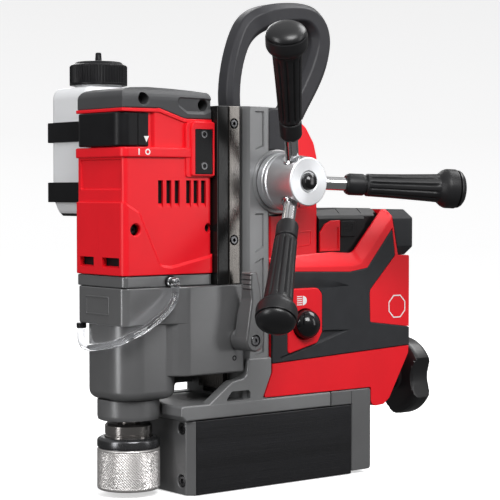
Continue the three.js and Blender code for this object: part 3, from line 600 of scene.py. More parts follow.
def build_column():
    top = COLUMN_HIGH.z
    front, rear = -35, -12
    half = COLUMN_HALF
    plate_top = BLOCK_HIGH.z
    web = 25
    section = [(-33, front), (33, front), (half, front + 4), (half, rear), (web, rear), (web, 8),
               (-web, 8), (-web, rear), (-half, rear), (-half, front + 4)]
    radii = [1, 1, 1.2, 2.2, 0, 1, 1, 0, 2.2, 1.2]
    body = prism(Outline(section, radii), "Z", plate_top - 3, top, 0.7)

    nose_y, back_y = COLUMN_LOW.y, 46.6
    low_z = MAGNET_HIGH.z + 0.5
    side = [(nose_y, low_z + 3.7), (nose_y + 4, low_z), (back_y, low_z), (back_y, plate_top),
        (nose_y, plate_top)]
    plate = prism(Outline(side, [1.4, 1.4, 0, 1.4, 2]), "X", -HALF, HALF, 1.3)
    foot_side = [(-72, plate_top - 2), (-70, plate_top), (-49, 80.2), (-38.5, 82), (-35.2, 85), (-34, 96),
                 (-12.1, 96), (-12.1, 84.2), (-20.1, 66.2), (-20.1, plate_top - 2)]
    foot_outline = Outline(foot_side, [0, 2, 4, 3, 3, 1.5, 1.5, 2, 1.2, 0])
    hole_outline = Outline([(-55.5, 66.2), (-50, 73), (-34, 73), (-32.5, 71), (-32.5, 66.2)],
        [1, 2, 1, 1, 1])
    feet = []
    for x0, x1 in ((30, HALF), (-HALF, -30)):
        feet.append(cut(prism(foot_outline, "X", x0, x1, 1.1), prism(hole_outline, "X", -50, 50)))
    boss = [(0, 33), (24, 33), (24, 37.4), (23.2, 38.2), (0, 38.2)]
    body = join(body, plate, *feet, lathe(boss, HUB_AT, X, 96))
    under, clear = plate_top - 1, 24.5
    nose_room = [(0, 50), (clear, 50), (clear, under), (clear + 1, under + 1), (clear + 1, 80), (0, 80)]
    body = cut(
        body,
        prism(dovetail(0.4, front - 1), "Z", plate_top + 2, top + 5),
        block((10.5, -30.4, plate_top + 2), (21.5, -12, top + 5)),
        drill(13, 10.5, 21.5, HUB_AT, X),
        drill(9.5, -22, 60, HUB_AT, X),
        lathe(nose_room, SPINDLE, Z, 96),
    )
    # Shallow panels with slanted ends in the column's two sides.
    panels = (
        [(-26.4, 249.5), (-17.4, 252.6), (-17.4, 278.6), (-26.4, 278.6)],
        [(-26.4, 173.2), (-17.4, 178), (-17.4, 203), (-26.4, 203)],
        [(-26.4, 97), (-17.4, 99.5), (-17.4, 170.6), (-26.4, 166.6)],
    )
    for corners in panels:
        for sign in (1, -1):
            levels = [(sign * (half + 1), -0.6), (sign * half, 0), (sign * (half - 1.4), 1.0)]
            body = cut(body, stack(Outline(corners, 1.2, 2), "X", levels))
    # The column wears the lighter copy of the cast grey, whose extra lightness is painted light.
    stand_in("column_frame", body, CAST_LIT_COPY)


# ---- carriage: rail, gear housing and nose ----
def build_slide():
    low, high = RAIL_LOW, RAIL_HIGH
    bottom, rear = FLANGE_LOW.z, -39.3
    split = low.y + 10
    cover = prism(rectangle(low.x, high.x, low.y, split, 1, 3), "Z", bottom, high.z, 0.7)
    trim("rail_cover", cover, RAIL_BLACK, "carriage")
    rail = prism(rectangle(low.x, high.x, split + 0.2, rear, 0.9, 3), "Z", bottom, high.z, 0.7)
    holes = [Vector((x, split + 5, z)) for x in (low.x, high.x) for z in (268.8, 183.7)]
    rail = cut(rail, *(countersunk(3.3, 1.8, 0.6, hole, X * hole.x) for hole in holes))
    tongue = prism(dovetail(0, -39.4), "Z", low.z, high.z)
    stand_in("dovetail_rail", join(rail, tongue), RAIL_GROUND)
    for i, hole in enumerate(holes):
        screw(f"rail_screw_{i + 1}", hole + X * math.copysign(0.3, hole.x), X * hole.x, 3.0, 1.6, DARK_STEEL,
            "carriage")


def build_gear_housing():
    low, high = GEAR_LOW, GEAR_HIGH
    collar_z, bracket_z, rear = 124.0, 86.3, high.y
    back = [(37, rear), (24, rear), (24, -39.7), (-24, -39.7), (-24, rear), (-37, rear)]
    back_radii = [2, 0.5, 0.5, 0.5, 0.5, 2]
    flare = [(-27, low.y), (27, low.y), (31, low.y + 4), (31, -104), (33, -96), (37, -87)]
    flare += back + [(-37, -87), (-33, -96), (-31, -104), (-31, low.y + 4)]
    radii = [4, 4, 4, 14, 10, 10] + back_radii + [10, 10, 14, 4]
    collar = prism(Outline(flare, radii, 5), "Z", collar_z, high.z, 1.1)

    # Below the collar a bracket reaches back to the column, and a rounded nose holds the spindle.
    bracket = [(-27, -104), (27, -104), (29.5, -97), (33.6, -93.4), (37, -86.5)]
    bracket += back + [(-37, -86.5), (-33.6, -93.4), (-29.5, -97)]
    radii = [0, 0, 4, 3, 8] + back_radii + [8, 3, 4]
    bracket = prism(Outline(bracket, radii), "Z", bracket_z, collar_z + 1.5, 1.4)
    outline = rectangle(-28.5, 28.5, -138.4, -84, 19.5, 12)
    levels = ((low.z, 4.6), (low.z + 0.7, 3.1), (low.z + 2.2, 1.4), (low.z + 4.4, 0.3), (low.z + 6.5, 0),
              (collar_z - 4, 0), (collar_z + 1, 0))
    nose = stack(outline, "Z", levels)
    body = join(collar, bracket, nose)
    body = cut(
        body,
        prism(rectangle(-28, 28, -135, -62, 3), "Z", collar_z + 3, high.z + 5),
        drill(14, low.z - 5, collar_z + 5, SPINDLE, Z, 72),
        block((-30, -58, bracket_z - 5), (30, -44, 140)),
    )
    # A plain raised frame on the collar's front.
    field = rectangle(-17.7, 12.3, 131, 144.5, 1)
    edge = cut(prism(field, "Y", low.y - 0.45, low.y + 2, 0.3),
               stack(field, "Y", ((low.y - 1, 0.6), (low.y + 0.2, 1.1))))
    stand_in("gear_housing", join(body, edge), CAST)
    for hand, sign in SIDES:
        screw(f"bracket_screw_{hand}", (sign * 37.1, -45.5, 97.1), X * sign, 2.2, 1.8, BLACK, "carriage")

    flange = block(FLANGE_LOW, FLANGE_HIGH, 4, 0.9, 6)
    stand_in("motor_flange", cut(flange, drill(9.6, 140, 170, (0, -98, 0), Z)), CAST)

    low, high = NOSE_LOW, NOSE_HIGH
    outer = high.x
    profile = [(9.4, 55.5), (20.4, 54.4), (22.1, 55.1), (outer - 0.1, 56.8), (outer, 58),
        (outer, high.z - 0.6), (outer - 0.6, high.z), (9.4, high.z)]
    stand_in("nose_ring", lathe(profile, SPINDLE, Z, 96, closed=True), CAST)


# ---- motor ----
MOTOR_FRONT, MOTOR_REAR = FLANGE_LOW.y, FLANGE_HIGH.y
MOTOR_BASE, MOTOR_TOP = FLANGE_HIGH.z + 0.3, 250.5
MOTOR_WALL = 2.6
VENT_ROWS = (-109, -101.7, -94.4, -84.3, -77.6, -70.9)


def footprint(grow=0.0):
    return rectangle(-MOTOR_HALF - grow, MOTOR_HALF + grow, MOTOR_FRONT - grow, MOTOR_REAR + grow, 4 + grow,
        6)


def motor_shell():
    body = prism(footprint(-0.5), "Z", MOTOR_BASE, MOTOR_TOP, 0.7)
    lip = prism(footprint(1.3), "Z", 243.2, MOTOR_TOP, 1.2)
    lip = cut(lip, prism([(-84, 200), (-78, 260), (-40, 260), (-40, 200)], "X", -50, 50))
    neck = [(-27, -127), (-22, -132), (22, -132), (27, -127), (27, -113), (29, -111), (29, -61), (-29, -61),
            (-29, -111), (-27, -113)]
    neck = prism(Outline(neck, [4, 4, 4, 4, 1, 1, 3, 3, 1, 1], 5), "Z", 240, 290)
    side = [(-140, 245), (-140, 277.5), (-108, 277.5), (-108, 280), (-97, 280), (-82, 271), (-61, 271),
        (-61, 245)]
    upper = common(neck, prism(side, "X", -40, 40))

    # A raised skirt wraps the lower part. Its upper edge falls, then climbs towards the rear.
    skirt = prism(footprint(0.9), "Z", MOTOR_BASE + 0.2, 211.6, 0.7)
    above = [(-136.6, 230), (-136.6, 211.2), (-125.3, 205.2), (-107.3, 167.3), (-98, 166), (-50, 175.8),
        (-50, 230)]
    above = Outline(above, [0, 3, 5, 4, 6, 0, 0])
    for sign in (1, -1):
        levels = [(sign * x, shrink) for x, shrink in ((26, 0), (MOTOR_HALF - 0.5, 0),
            (MOTOR_HALF + 1.2, -2.4))]
        skirt = cut(skirt, stack(above, "X", levels))
    rear_room = block((-50, -57.9, 150), (50, -40, 260))
    body = join(body, lip, upper, skirt)

    # A plain sunken field on the front.
    levels = ((MOTOR_FRONT - 1, -1.2), (MOTOR_FRONT + 0.5, -0.2), (MOTOR_FRONT + 1.6, 0.7))
    body = cut(body, rear_room, stack(rectangle(-25, 27.4, 220.5, 242, 1.6), "Y", levels))
    room = rectangle(-MOTOR_HALF + MOTOR_WALL, MOTOR_HALF - MOTOR_WALL, -136.2, -63, 3)
    body = cut(body, prism(room, "Z", MOTOR_BASE - 5, 247),
               prism(rectangle(-24.4, 24.4, -129.4, -65, 3), "Z", 240, 268))
    for y in VENT_ROWS:
        for sign in (1, -1):
            # Each slot goes through the wall in its upper part and ends in a ramp below.
            outer, inner = sign * (MOTOR_HALF + 1), sign * (MOTOR_HALF - MOTOR_WALL - 1)
            mouth = [(outer, 204.6), (outer, 227.2), (inner, 227.2), (inner, 212.5)]
            body = cut(body, prism(mouth, "Y", y - 0.2, y + 4.2))
    for x0, x1 in ((-24, -6), (5, 26.5)):
        body = cut(body, prism([(-145, 164), (-145, 172.4), (-134, 172.4), (-134, 167)], "X", x0, x1))
    for hole in MOTOR_HOLES:
        hole_r = 4.1 if hole.y < -100 else 3.2
        body = cut(body, countersunk(hole_r, 6, 0.8, hole, X * hole.x))
    return body


MOTOR_HOLES = [Vector((sign * (MOTOR_HALF + rise), y, z)) for sign in (1, -1)
               for rise, y, z in ((0.9, -129.4, 192.2), (-0.5, -64, 192.6))]


def build_motor():
    body = motor_shell()
    left_body = copy_of(body)
    plate_low, plate_high = span("tool_mount_plate")
    # A raised frame holds the accessory plate, with a wider rounded step in front of it.
    step = prism(Outline([(-85.2, 229.4), (-60.6, 229.4), (-60.6, 269.8), (-85.2, 269.8)], [2, 1, 1, 5]),
        "X", 29, MOTOR_HALF + 0.7, 0.5)
    surround = prism(Outline([(-81.3, 230.4), (-60.6, 230.4), (-60.6, 269.3), (-81.3, 269.3)],
        [1.5, 1, 1, 4]), "X", 29, plate_high.x + 0.3, 0.7)
    pocket = block((plate_low.x - 0.25, plate_low.y - 0.3, plate_low.z - 0.3),
        (40, plate_high.y + 0.3, plate_high.z + 0.3))
    body = cut(join(body, step, surround), pocket)
    for hand, whole, (x0, x1) in (("right", body, (0.02, 60)), ("left", left_body, (-60, -0.02))):
        half = common(whole, block((x0, -160, 150), (x1, -40, 300)))
        stand_in(f"motor_housing_{hand}", half, RED)
    for i, hole in enumerate(MOTOR_HOLES):
        screw(f"motor_screw_{i + 1}", hole - X * math.copysign(4.6, hole.x), X * hole.x, 3.1, 2, BLACK,
            "carriage")
    # Black sheets behind the vents are painted shade: they stand for the dark inside of the motor seen
    # through the slots.
    shade_sheets = [block(low, high) for low, high in (
        ((27.2, -112, 203), (27.8, -64, 229)), ((-27.8, -112, 203), (-27.2, -64, 229)),
        ((-26, -135.6, 162), (27, -135, 174)))]
    trim("vent_painted_shade", merge(shade_sheets), BLACK, "carriage")

    outline = rectangle(plate_low.y, plate_high.y, plate_low.z, plate_high.z, 1.2)
    plate = prism(outline, "X", plate_low.x, plate_high.x, 0.4)
    stand_in("tool_mount_plate", plate, BLACK)
    for i, z in enumerate((237.6, 260.4)):
        screw(f"mount_plate_screw_{i + 1}", (plate_high.x + 0.5, -70.2, z), X, 3.0, 1.2, DARK_STEEL,
            "carriage", 0.6)


def build_top_cap():
    low, high = CAP_LOW, CAP_HIGH
    side = [(low.y, 278), (low.y, 290.6), (-128, 292.8), (-112, 293.6), (-94, 293), (-76, 292), (-62, 290.8),
            (high.y, 288.6), (high.y, 271.6), (-85, 271.6), (-107, 278.4)]
    radii = [0.8, 8, 9, 14, 14, 9, 2, 5, 1, 3, 4]
    cap = prism(Outline(side, radii, 6), "X", low.x, high.x, 1)
    across = [(high.x, 255), (high.x, high.z + 0.4), (low.x, high.z + 0.4), (low.x, 255)]
    cap = common(cap, prism(Outline(across, [0, 12, 12, 0], 9), "Y", low.y - 5, high.y + 5))
    # A sunken field leads back to a screw hole on each side, and another hole is further forward.
    scoop = [(-90, 287.6), (-66, 287.2), (high.y + 4, 286), (high.y + 4, 279), (-67, 275.4), (-82, 275.4),
        (-91, 281)]
    scoop = Outline(scoop, [3, 3, 0, 0, 3, 5, 4])
    for sign in (1, -1):
        side_x = sign * high.x
        levels = ((sign * (high.x + 1), -1.4), (sign * (high.x - 0.2), -0.4), (sign * (high.x - 1.6), 1.6))
        cap = cut(cap, stack(scoop, "X", levels))
        cap = cut(cap, countersunk(4.3, 12, 0.6, (side_x - sign * 1.4, -67.4, 281.6), X * sign))
        cap = cut(cap, countersunk(4.4, 12, 0.9, (side_x, -120.3, 285), X * sign))
    stand_in("top_cap", cap, PLATE_GREY)
    for hand, sign in SIDES:
        screw(f"cap_screw_{hand}", (sign * (high.x - 9), -120.3, 285), X * sign, 4.1, 1, BLACK, "carriage")

    # A red bead follows the cap's lower edge.
    under = [(-139.3, 275.4), (-139.3, 277.9), (-107, 278.1), (-85, 271.4), (-60.6, 271.4), (-60.6, 268.8),
             (-86, 268.8), (-107.5, 275.4)]
    bead = prism(Outline(under, [0.6, 0.6, 2, 2, 0.6, 0.6, 2, 2], 3), "X", -30, 30, 0.6)
    trim("cap_bead", cut(bead, prism(rectangle(-24, 24, -129, -65, 3), "Z", 240, 279)), RED, "carriage")


def build_motor_switch():
    low, high = span("motor_switch")
    body = prism(rectangle(low.x, high.x, low.y, low.y + 37, 9, 9), "Z", low.z, high.z, 1.1)
    gap = rectangle(low.x + 1.6, high.x - 1.6, low.y + 6.2, low.y + 60, 7, 9)
    body = cut(body, prism(gap, "Z", 240, 290), block((-40, high.y, 240), (40, low.y + 80, 290)))
    for x in (low.x, high.x):
        body = cut(body, block((x - 0.5, -125.9, low.z - 1), (x + 0.5, -125, high.z + 1)))
    stand_in("motor_switch", body, BLACK)
    for hand, x in (("right", high.x), ("left", low.x)):
        x0, x1 = sorted((x, x + math.copysign(0.12, x)))
        mark = prism([(-120.3, 258.4), (-115.9, 258.4), (-118.1, 254)], "X", x0, x1)
        trim(f"switch_mark_{hand}", mark, WHITE_MARK, "motor_switch")
    # Plain marks for on and off on the lip below.
    lip_x = MOTOR_HALF + 1.3
    bar = prism(rectangle(-127.2, -126.2, 245, 249.4), "X", lip_x - 0.1, lip_x + 0.06)
    trim("mark_on", bar, WHITE_MARK, "carriage")
    ring = [(1.25, -0.1), (2.2, -0.1), (2.2, 0.06), (1.25, 0.06)]
    trim("mark_off", lathe(ring, (lip_x, -119.2, 247.2), X, 32, closed=True), WHITE_MARK, "carriage")


# ---- spindle and chuck ----
def build_spindle():
    bore_r, body_r = 9.5, 17.15
    low = SLEEVE_LOW.z + 2
    profile = [(0, 46), (bore_r, 46), (bore_r, low + 1), (bore_r + 1, low), (body_r - 0.5, low),
        (body_r, low + 0.5), (body_r, 42.8), (body_r - 0.5, 43.2), (body_r - 0.5, 44), (body_r, 44.4),
        (body_r, 50.3), (body_r - 1.5, 52), (8, 52.4), (8, 126), (6, 126), (6, 139), (0, 139)]
    stand_in("spindle", lathe(profile, SPINDLE, Z, 96), STEEL)

    inner, outer = body_r + 0.6, SLEEVE_HIGH.x
    z0, z1 = SLEEVE_LOW.z, SLEEVE_HIGH.z
    knurl_low, knurl_high = z0 + 2.4, 32.4
    crossings = 72
    pitch = math.tau * outer / crossings
    rows = int((knurl_high - knurl_low) / pitch * 4)

    def knurl(radius, height, turn):
        if not knurl_low <= height <= knurl_high or radius < outer - 1:
            return radius
        u, v = turn * crossings / math.tau, (height - knurl_low) / pitch
        ridge = abs(math.sin(math.pi * (u + v))) * abs(math.sin(math.pi * (u - v)))
        return radius - 0.4 * (1 - min(1, 1.4 * ridge))

    profile = [(inner + 0.5, z0), (outer - 1.2, z0), (outer - 0.3, z0 + 0.6), (outer, knurl_low - 0.6)]
    profile += [(outer, knurl_low + (knurl_high - knurl_low) * i / rows) for i in range(rows + 1)]
    profile += [(outer, knurl_high + 0.6), (outer - 0.3, 33.6), (outer - 0.9, 34), (inner, 34),
        (inner, z0 + 0.5)]
    sleeve = lathe(profile, SPINDLE, Z, crossings * 4, knurl, closed=True)
    stand_in("chuck_sleeve", sleeve, NICKEL, sharp=24)
    profile = [(inner, 34.1), (outer - 0.9, 34.1), (outer - 0.9, 34.8), (outer - 0.1, 35.2), (outer, 35.7),
               (outer, 39.6), (outer - 0.5, 40.6), (outer - 2.6, z1), (inner, z1)]
    trim("chuck_sleeve_flange", lathe(profile, SPINDLE, Z, 96, closed=True), DARK_STEEL, "chuck_sleeve")


# ---- lock lever ----
def build_lever():
    pivot_y, pivot_z = -41.5, 111.0
    x0, x1 = LEVER_LOW.x, LEVER_HIGH.x
    root = x1 - 16
    boss = 8.2
    arm = [(-boss, 0), (-3.4, 30), (-4.6, 38), (-4.4, 49), (-3.4, 50), (0.4, 50), (1.8, 49), (4.6, 38),
        (8.0, 16), (boss, 0), (0, -4)]
    arm = Outline([(pivot_y + a, pivot_z + b) for a, b in arm], [0, 8, 5, 1, 1, 1, 1, 8, 8, 0, 0], 5)
    pivot = Vector((0, pivot_y, pivot_z))
    barrel = [(0, x0), (boss - 0.6, x0), (boss, x0 + 0.6), (boss, x1 - 1.2), (boss - 1.2, x1), (0, x1)]
    lever = join(prism(arm, "X", root, x1, 1.6, 4), lathe(barrel, pivot, X, 64))
    thin = [(root - 1, pivot_z + 12), (root + 5, pivot_z + 36), (root + 5, pivot_z + 60),
        (root - 1, pivot_z + 60)]
    lever = cut(lever, prism(thin, "Y", pivot_y - 20, pivot_y + 20))
    for k in range(4):
        z = pivot_z + 36.6 + 3.4 * k
        notch = [(pivot_y - 9, z - 1), (pivot_y - 9, z + 2.6), (pivot_y - 2.9, z + 0.8)]
        lever = cut(lever, prism(notch, "X", x1 - 16, x1 + 1))
    lever = cut(lever, drill(4.4, x1 - 2.6, x1 + 5, pivot, X))
    stand_in("lock_lever", lever, CAST)
    head = screw("lever_screw_fine", pivot + X * (x1 - 0.2), X, 3.7, 2.0, DARK_STEEL, "lock_lever")
    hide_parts("lever_screw")


# ---- feed hub and its three handles ----
HANDLE_TILT, HANDLE_FIRST, ROD_R, GRIP_START = math.radians(25.7), math.radians(117.3), 5.0, 40.0
HANDLE_ROOT = Vector((55, HUB_CENTRE.y, HUB_CENTRE.z))


def handle_direction(k):
    around = HANDLE_FIRST - k * math.tau / 3
    return Vector((math.sin(HANDLE_TILT), math.cos(HANDLE_TILT) * math.cos(around),
                   math.cos(HANDLE_TILT) * math.sin(around)))


def grip_profile():
    g = GRIP_START
    low, high = g + 16.8, g + 71.5
    profile = [(ROD_R + 0.3, g + 30), (ROD_R + 0.3, g), (6.6, g), (7.5, g + 1.2), (8.1, g + 3),
        (8.1, g + 13.2), (7.7, g + 14), (7.0, g + 14.3), (7.0, g + 15.1), (7.7, g + 15.5), (8.4, g + 16.4)]
    steps = 40
    profile += [(8.45 + 2.2 * (i / steps) ** 1.35, low + (high - low) * i / steps) for i in range(steps + 1)]
    profile += [(10.9, g + 72.2), (11.7, g + 73), (13.6, g + 75.4), (14.6, g + 77.6), (14.8, g + 79),
        (14.8, g + 85.2), (14.5, g + 85.8), (13.2, g + 86), (12.9, g + 86.9), (0, g + 86.9), (0, g + 30)]
    return profile, low, high


def build_feed():
    base_r, base_x, top_x = 21.4, HUB_LOW.x, HUB_HIGH.x
    profile = [(0, base_x), (base_r - 0.3, base_x), (base_r, base_x + 0.3), (base_r, 44.4),
        (base_r - 0.4, 44.7), (base_r - 0.4, 45.1), (base_r, 45.4), (base_r, 48.3), (base_r - 0.5, 49.2),
        (18.3, 70.4), (17.7, 72.4), (17.1, top_x), (8.2, top_x), (7.3, top_x - 0.6), (0, top_x - 0.6)]
    hub = lathe(profile, HUB_AT, X, 120)
    directions = [handle_direction(k) for k in range(3)]
    for d in directions:
        # A flat spot is faced on the cone where each rod goes in.
        hub = cut(hub, drill(7.4, 18.4, 40, HANDLE_ROOT, d), drill(ROD_R + 0.3, 11.5, 60, HANDLE_ROOT, d))
    hub = cut(hub, drill(6.4, 30, 61, HUB_AT, X), drill(6.5, 68.2, 80, HUB_AT, X))
    stand_in("feed_hub", hub, ALUMINIUM, sharp=20)
    button = Outline([(0, 68.6), (6.2, 68.6), (6.2, 73.6), (5.5, 75.9), (3.2, 77.4), (0, 77.8)],
                     [0, 0.4, 1.5, 1.5, 1.5, 0]).at()
    stand_in("hub_button", lathe(button, HUB_AT, X, 48), GLOSS_BLACK, sharp=40)

    profile, low, high = grip_profile()

    def fluted(radius, height, turn):
        if not low <= height <= high:
            return radius
        ends = min(1, (height - low) / 2.6, (high - height) / 5.5)
        return radius - 1.0 * math.sin(ends * math.pi / 2) * max(0, math.cos(12 * turn)) ** 2

    g = GRIP_START
    dome = [(0, g + 86.95), (13.6, g + 86.95), (14.2, g + 87.3), (14.1, g + 88.2), (13.1, g + 89.8),
        (11.1, g + 91.4), (8, g + 92.6), (4.4, g + 93.2), (0, g + 93.3)]
    for k, d in enumerate(directions):
        rod = [(0, 12), (ROD_R, 12), (ROD_R, g + 29), (ROD_R - 0.5, g + 29.5), (0, g + 29.5)]
        stand_in(f"handle_rod_{k + 1}", lathe(rod, HANDLE_ROOT, d, 56), CHROME)
        collar = [(ROD_R - 0.6, 18.5), (6.4, 18.5), (6.8, 18.9), (6.8, 20.5), (6.4, 20.9),
            (ROD_R - 0.6, 20.9)]
        trim(f"handle_collar_{k + 1}", lathe(collar, HANDLE_ROOT, d, 48, closed=True), CHROME, "feed")
        grip = lathe(profile, HANDLE_ROOT, d, 120, fluted)
        stand_in(f"handle_grip_{k + 1}", grip, GRIP, sharp=42)
        trim(f"handle_grip_end_{k + 1}", lathe(dome, HANDLE_ROOT, d, 72), GRIP_END, "feed",
            sharp=50)


# ---- rear housing ----
LOWER = [(-19.6, 66), (88.3, 66), (88.3, 50.5), (102, 51.5), (108, 56), (128.5, 90.5), (129.3, 100),
    (129.3, 168.7), (117, 168.7), (109.2, 205), (103, 205), (69, 168.4), (55, 164), (-11.6, 164),
    (-11.6, 84)]
# The same outline where the side's upper edge starts to slope, and where the slope ends.
LEDGE_TOP = LOWER[:9] + [(109.2, 205), (104.6, 205), (73.5, 171.2), (52, 172.6), (-11.6, 169.6), (-11.6, 84)]
LEDGE_LOW = LOWER[:9] + [(109.9, 201.6), (109, 197.6), (77.6, 163.2), (70, 161.6), (-11.6, 162.6),
    (-11.6, 84)]
LOWER_RADII = [1.5, 2, 5, 4, 3, 8, 5, 1.5, 1.5, 1.5, 1.5, 8, 5, 1.5, 2]
TOWER = [(-11.2, 160), (38, 160), (38, 245), (35, 256), (27, 268), (18, 274.5), (12, 274.5), (12, 247),
    (-11.2, 247)]
ARMOUR = [(-11.6, 91), (60, 94), (129.3, 97), (129.3, 111.5), (87, 117), (86.5, 142), (113.5, 168.7),
          (110.5, 190), (84, 159.5), (66, 157), (-11.6, 159.5)]
PANEL = Outline([(3, 97), (32, 104), (37, 112), (37, 141), (33, 146), (3, 146)], [2, 4, 4, 5, 5, 2])
WALL, ARMOUR_T = 3.0, 2.2


def housing_shell():
    """The right half of the rear housing, hollowed as its CAD node is."""
    place = PLACE["X"]
    top = Outline(LEDGE_TOP, LOWER_RADII)
    rings = [[place(a, b, x) for a, b in top.at()] for x in (SEAM, TOWER_HALF - 0.4)]
    for share, drop in ((0.0, 0.0), (0.5, 0.0), (0.94, 0.05), (0.985, 0.25), (1.0, 0.7)):
        x = TOWER_HALF + (HALF - TOWER_HALF) * share
        mixed = [(p[0] * (1 - share) + q[0] * share, p[1] * (1 - share) + q[1] * share)
                 for p, q in zip(LEDGE_TOP, LEDGE_LOW)]
        rings.append([place(a, b, x) for a, b in Outline(mixed, LOWER_RADII).at(drop)])
    lower = loft(rings)
    tower = prism(Outline(TOWER, [0, 0, 12, 12, 10, 4, 1, 1, 1], 5), "X", -8, TOWER_HALF, 3.2, 5)
    outer = join(lower, cut(tower, block((-20, -40, 100), (SEAM, 60, 300))))
    shell = cut(
        outer,
        prism(inset(LOWER, WALL), "X", -1, HALF - WALL - ARMOUR_T),
        prism(inset(TOWER, WALL + 0.6), "X", -1, TOWER_HALF - WALL - 0.6),
        block((-1, -8, 150), (TOWER_HALF - WALL, 35, 200)),
        block((-1, 41, 118), (32.4, 106, 260)),
        block((-1, -30, 60), (25.4, 8.4, 290)),
        block((-1, -30, 60), (HALF - 2.1, -11.7, 90)),
        drill(5.3, 84, 135, (0, 0, SHAFT_Z), Y, 32),
        drill(23.6, 72, 87, (0, 0, SHAFT_Z), Y),
    )
    return cut(shell, prism(inset(ARMOUR, -0.35), "X", HALF - ARMOUR_T - 0.3, HALF + 3))


# Sunken blades in the dark plates point to the rear: the mouth of each, and its floor.
UPPER_BLADE = (
    [(8, 157), (27, 155), (46, 151.4), (65, 146.6), (46, 145), (30, 144.6), (8, 144.6)],
    [(8, 147), (27, 147), (46, 146.4), (58, 146.2), (46, 145.5), (30, 145.1), (8, 145.1)])
PANEL_BLADE = (
    [(-4, 92.4), (66, 112.4), (48, 113.2), (38, 113.4), (36, 111.6), (31, 104.2), (3.4, 97.4), (-4, 95.4)],
    [(-3.6, 94.4), (58, 112.1), (48, 112.6), (38.4, 112.8), (36.6, 111.2), (31.4, 103.8), (3.6, 97),
     (-3.6, 95)])
OPEN_BLADE = (
    [(-4, 92.4), (66, 112.4), (38, 113.4), (-4, 101)],
    [(-3.6, 98.4), (58, 112.2), (38.4, 112.8), (-3.6, 100.4)])


def armour_plate(*blades):
    """The right-hand dark plate. Each blade has a steep wall on one side, a long slope on the other."""
    face = HALF + 0.35
    plate = prism(Outline(ARMOUR, [1, 4, 1, 1, 3, 6, 2, 1, 8, 8, 1]), "X", HALF - ARMOUR_T, face, 0.8)
    for mouth, floor in blades:
        mouth, floor = Outline(mouth), Outline(floor)
        rings = [(face + 1.5, mouth, -0.3), (face, mouth, 0), (face - 2.1, floor, 0)]
        plate = cut(plate, loft([[(x, a, b) for a, b in shape.at(shrink)] for x, shape, shrink in rings]))
    return plate


def build_rear_housing():
    shell = housing_shell()
    left = copy_of(shell, mirror=True)
    lamp_r = LAMP_HIGH.z - LAMP_CENTRE.z
    shell = cut(shell, drill(26, 24, 60, HUB_AT, X, 96), drill(lamp_r + 0.4, 20, 50, LAMP_AT, X, 72))
    for hand, half in (("right", shell), ("left", left)):
        stand_in(f"rear_housing_{hand}", half, RED)

    armour = armour_plate(UPPER_BLADE, PANEL_BLADE)
    bare = armour_plate(UPPER_BLADE, OPEN_BLADE)
    left_armour = copy_of(bare, mirror=True)
    bpy.data.objects.remove(bare)
    armour = cut(armour, stack(PANEL, "X", ((30, -0.3), (50, -0.3))))
    stand_in("side_armour_right", armour, OVERMOULD)
    stand_in("side_armour_left", left_armour, OVERMOULD)

    panel = prism(PANEL, "X", HALF - ARMOUR_T, HALF + 0.9, 1.0)
    room = [(0, 20), (lamp_r + 0.4, 20), (lamp_r + 0.4, HALF), (lamp_r + 1.4, HALF + 1.2),
        (lamp_r + 1.4, 60), (0, 60)]
    stand_in("control_panel", cut(panel, lathe(room, LAMP_AT, X, 96)), RED_SATIN)
    dome = [(0, 34.3), (8, 34.3), (8, 36), (11, 36), (11, 43.6), (10.7, 45), (9.8, 47), (8.2, 49), (6, 50.7),
            (3.2, 51.9), (0, 52.3)]
    stand_in("lamp_button", lathe(dome, LAMP_AT, X, 96), GLOSS_BLACK, sharp=40)

    # A plain lamp symbol: half a disc, and five beams beside it.
    mark = (HALF + 0.8, HALF + 0.98)
    at_y, at_z = 17.2, 136.9
    turns = [k * math.pi / 16 for k in range(17)]
    bulb = [(at_y + 4 * math.sin(t), at_z + 3.6 * math.cos(t)) for t in turns]
    pieces = [prism(bulb, "X", *mark)]
    for k in range(5):
        z = at_z + 1.55 * (k - 2)
        pieces.append(prism(rectangle(at_y - 5.6, at_y - 0.7, z - 0.36, z + 0.36), "X", *mark))
    trim("lamp_symbol", merge(pieces), WHITE_MARK, "base")
    for hand, sign in SIDES:
        # A plain eight-sided outline, behind the pack.
        x0, x1 = sorted((sign * (HALF - 0.4), sign * (HALF + 0.12)))
        eighth = math.pi / 8
        ring = cut(prism(disc(115.8, 128.3, 9.8, 8, eighth), "X", x0, x1),
                   prism(disc(115.8, 128.3, 8.8, 8, eighth), "X", x0 - 1, x1 + 1))
        trim(f"octagon_{hand}", ring, WHITE_MARK, "base")
    # The tower has a plain raised field.
    field = Outline([(8, 176), (31, 178.5), (31, 189.5), (8, 188)], 0.8)
    edge = cut(prism(field, "X", TOWER_HALF - 0.5, TOWER_HALF + 0.35, 0.25),
               stack(field, "X", ((TOWER_HALF - 1, 0.9), (TOWER_HALF + 1, 0.5))))
    trim("tower_field", edge, RED, "base")


def build_bumper():
    low, high = span("guard_bumper")
    side = [(109.6, 205), (117.4, 169), (126, 169), (132.8, 175.4), (132.8, 198), (127.5, 205)]
    bumper = prism(Outline(side, [1, 1, 2, 2, 2, 2], 4), "X", low.x, high.x, 0.8)
    # Long flats run along its upper and lower edges.
    ends = [(high.x, 176), (high.x, 197.6), (high.x - 6, 206), (low.x + 6, 206), (low.x, 197.6),
        (low.x, 176), (low.x + 3, 168), (high.x - 3, 168)]
    ends = prism(Outline(ends, [3, 1.5, 1.5, 1.5, 1.5, 3, 2, 2], 3), "Y", 100, 140)
    stand_in("guard_bumper", common(bumper, ends), OVERMOULD)


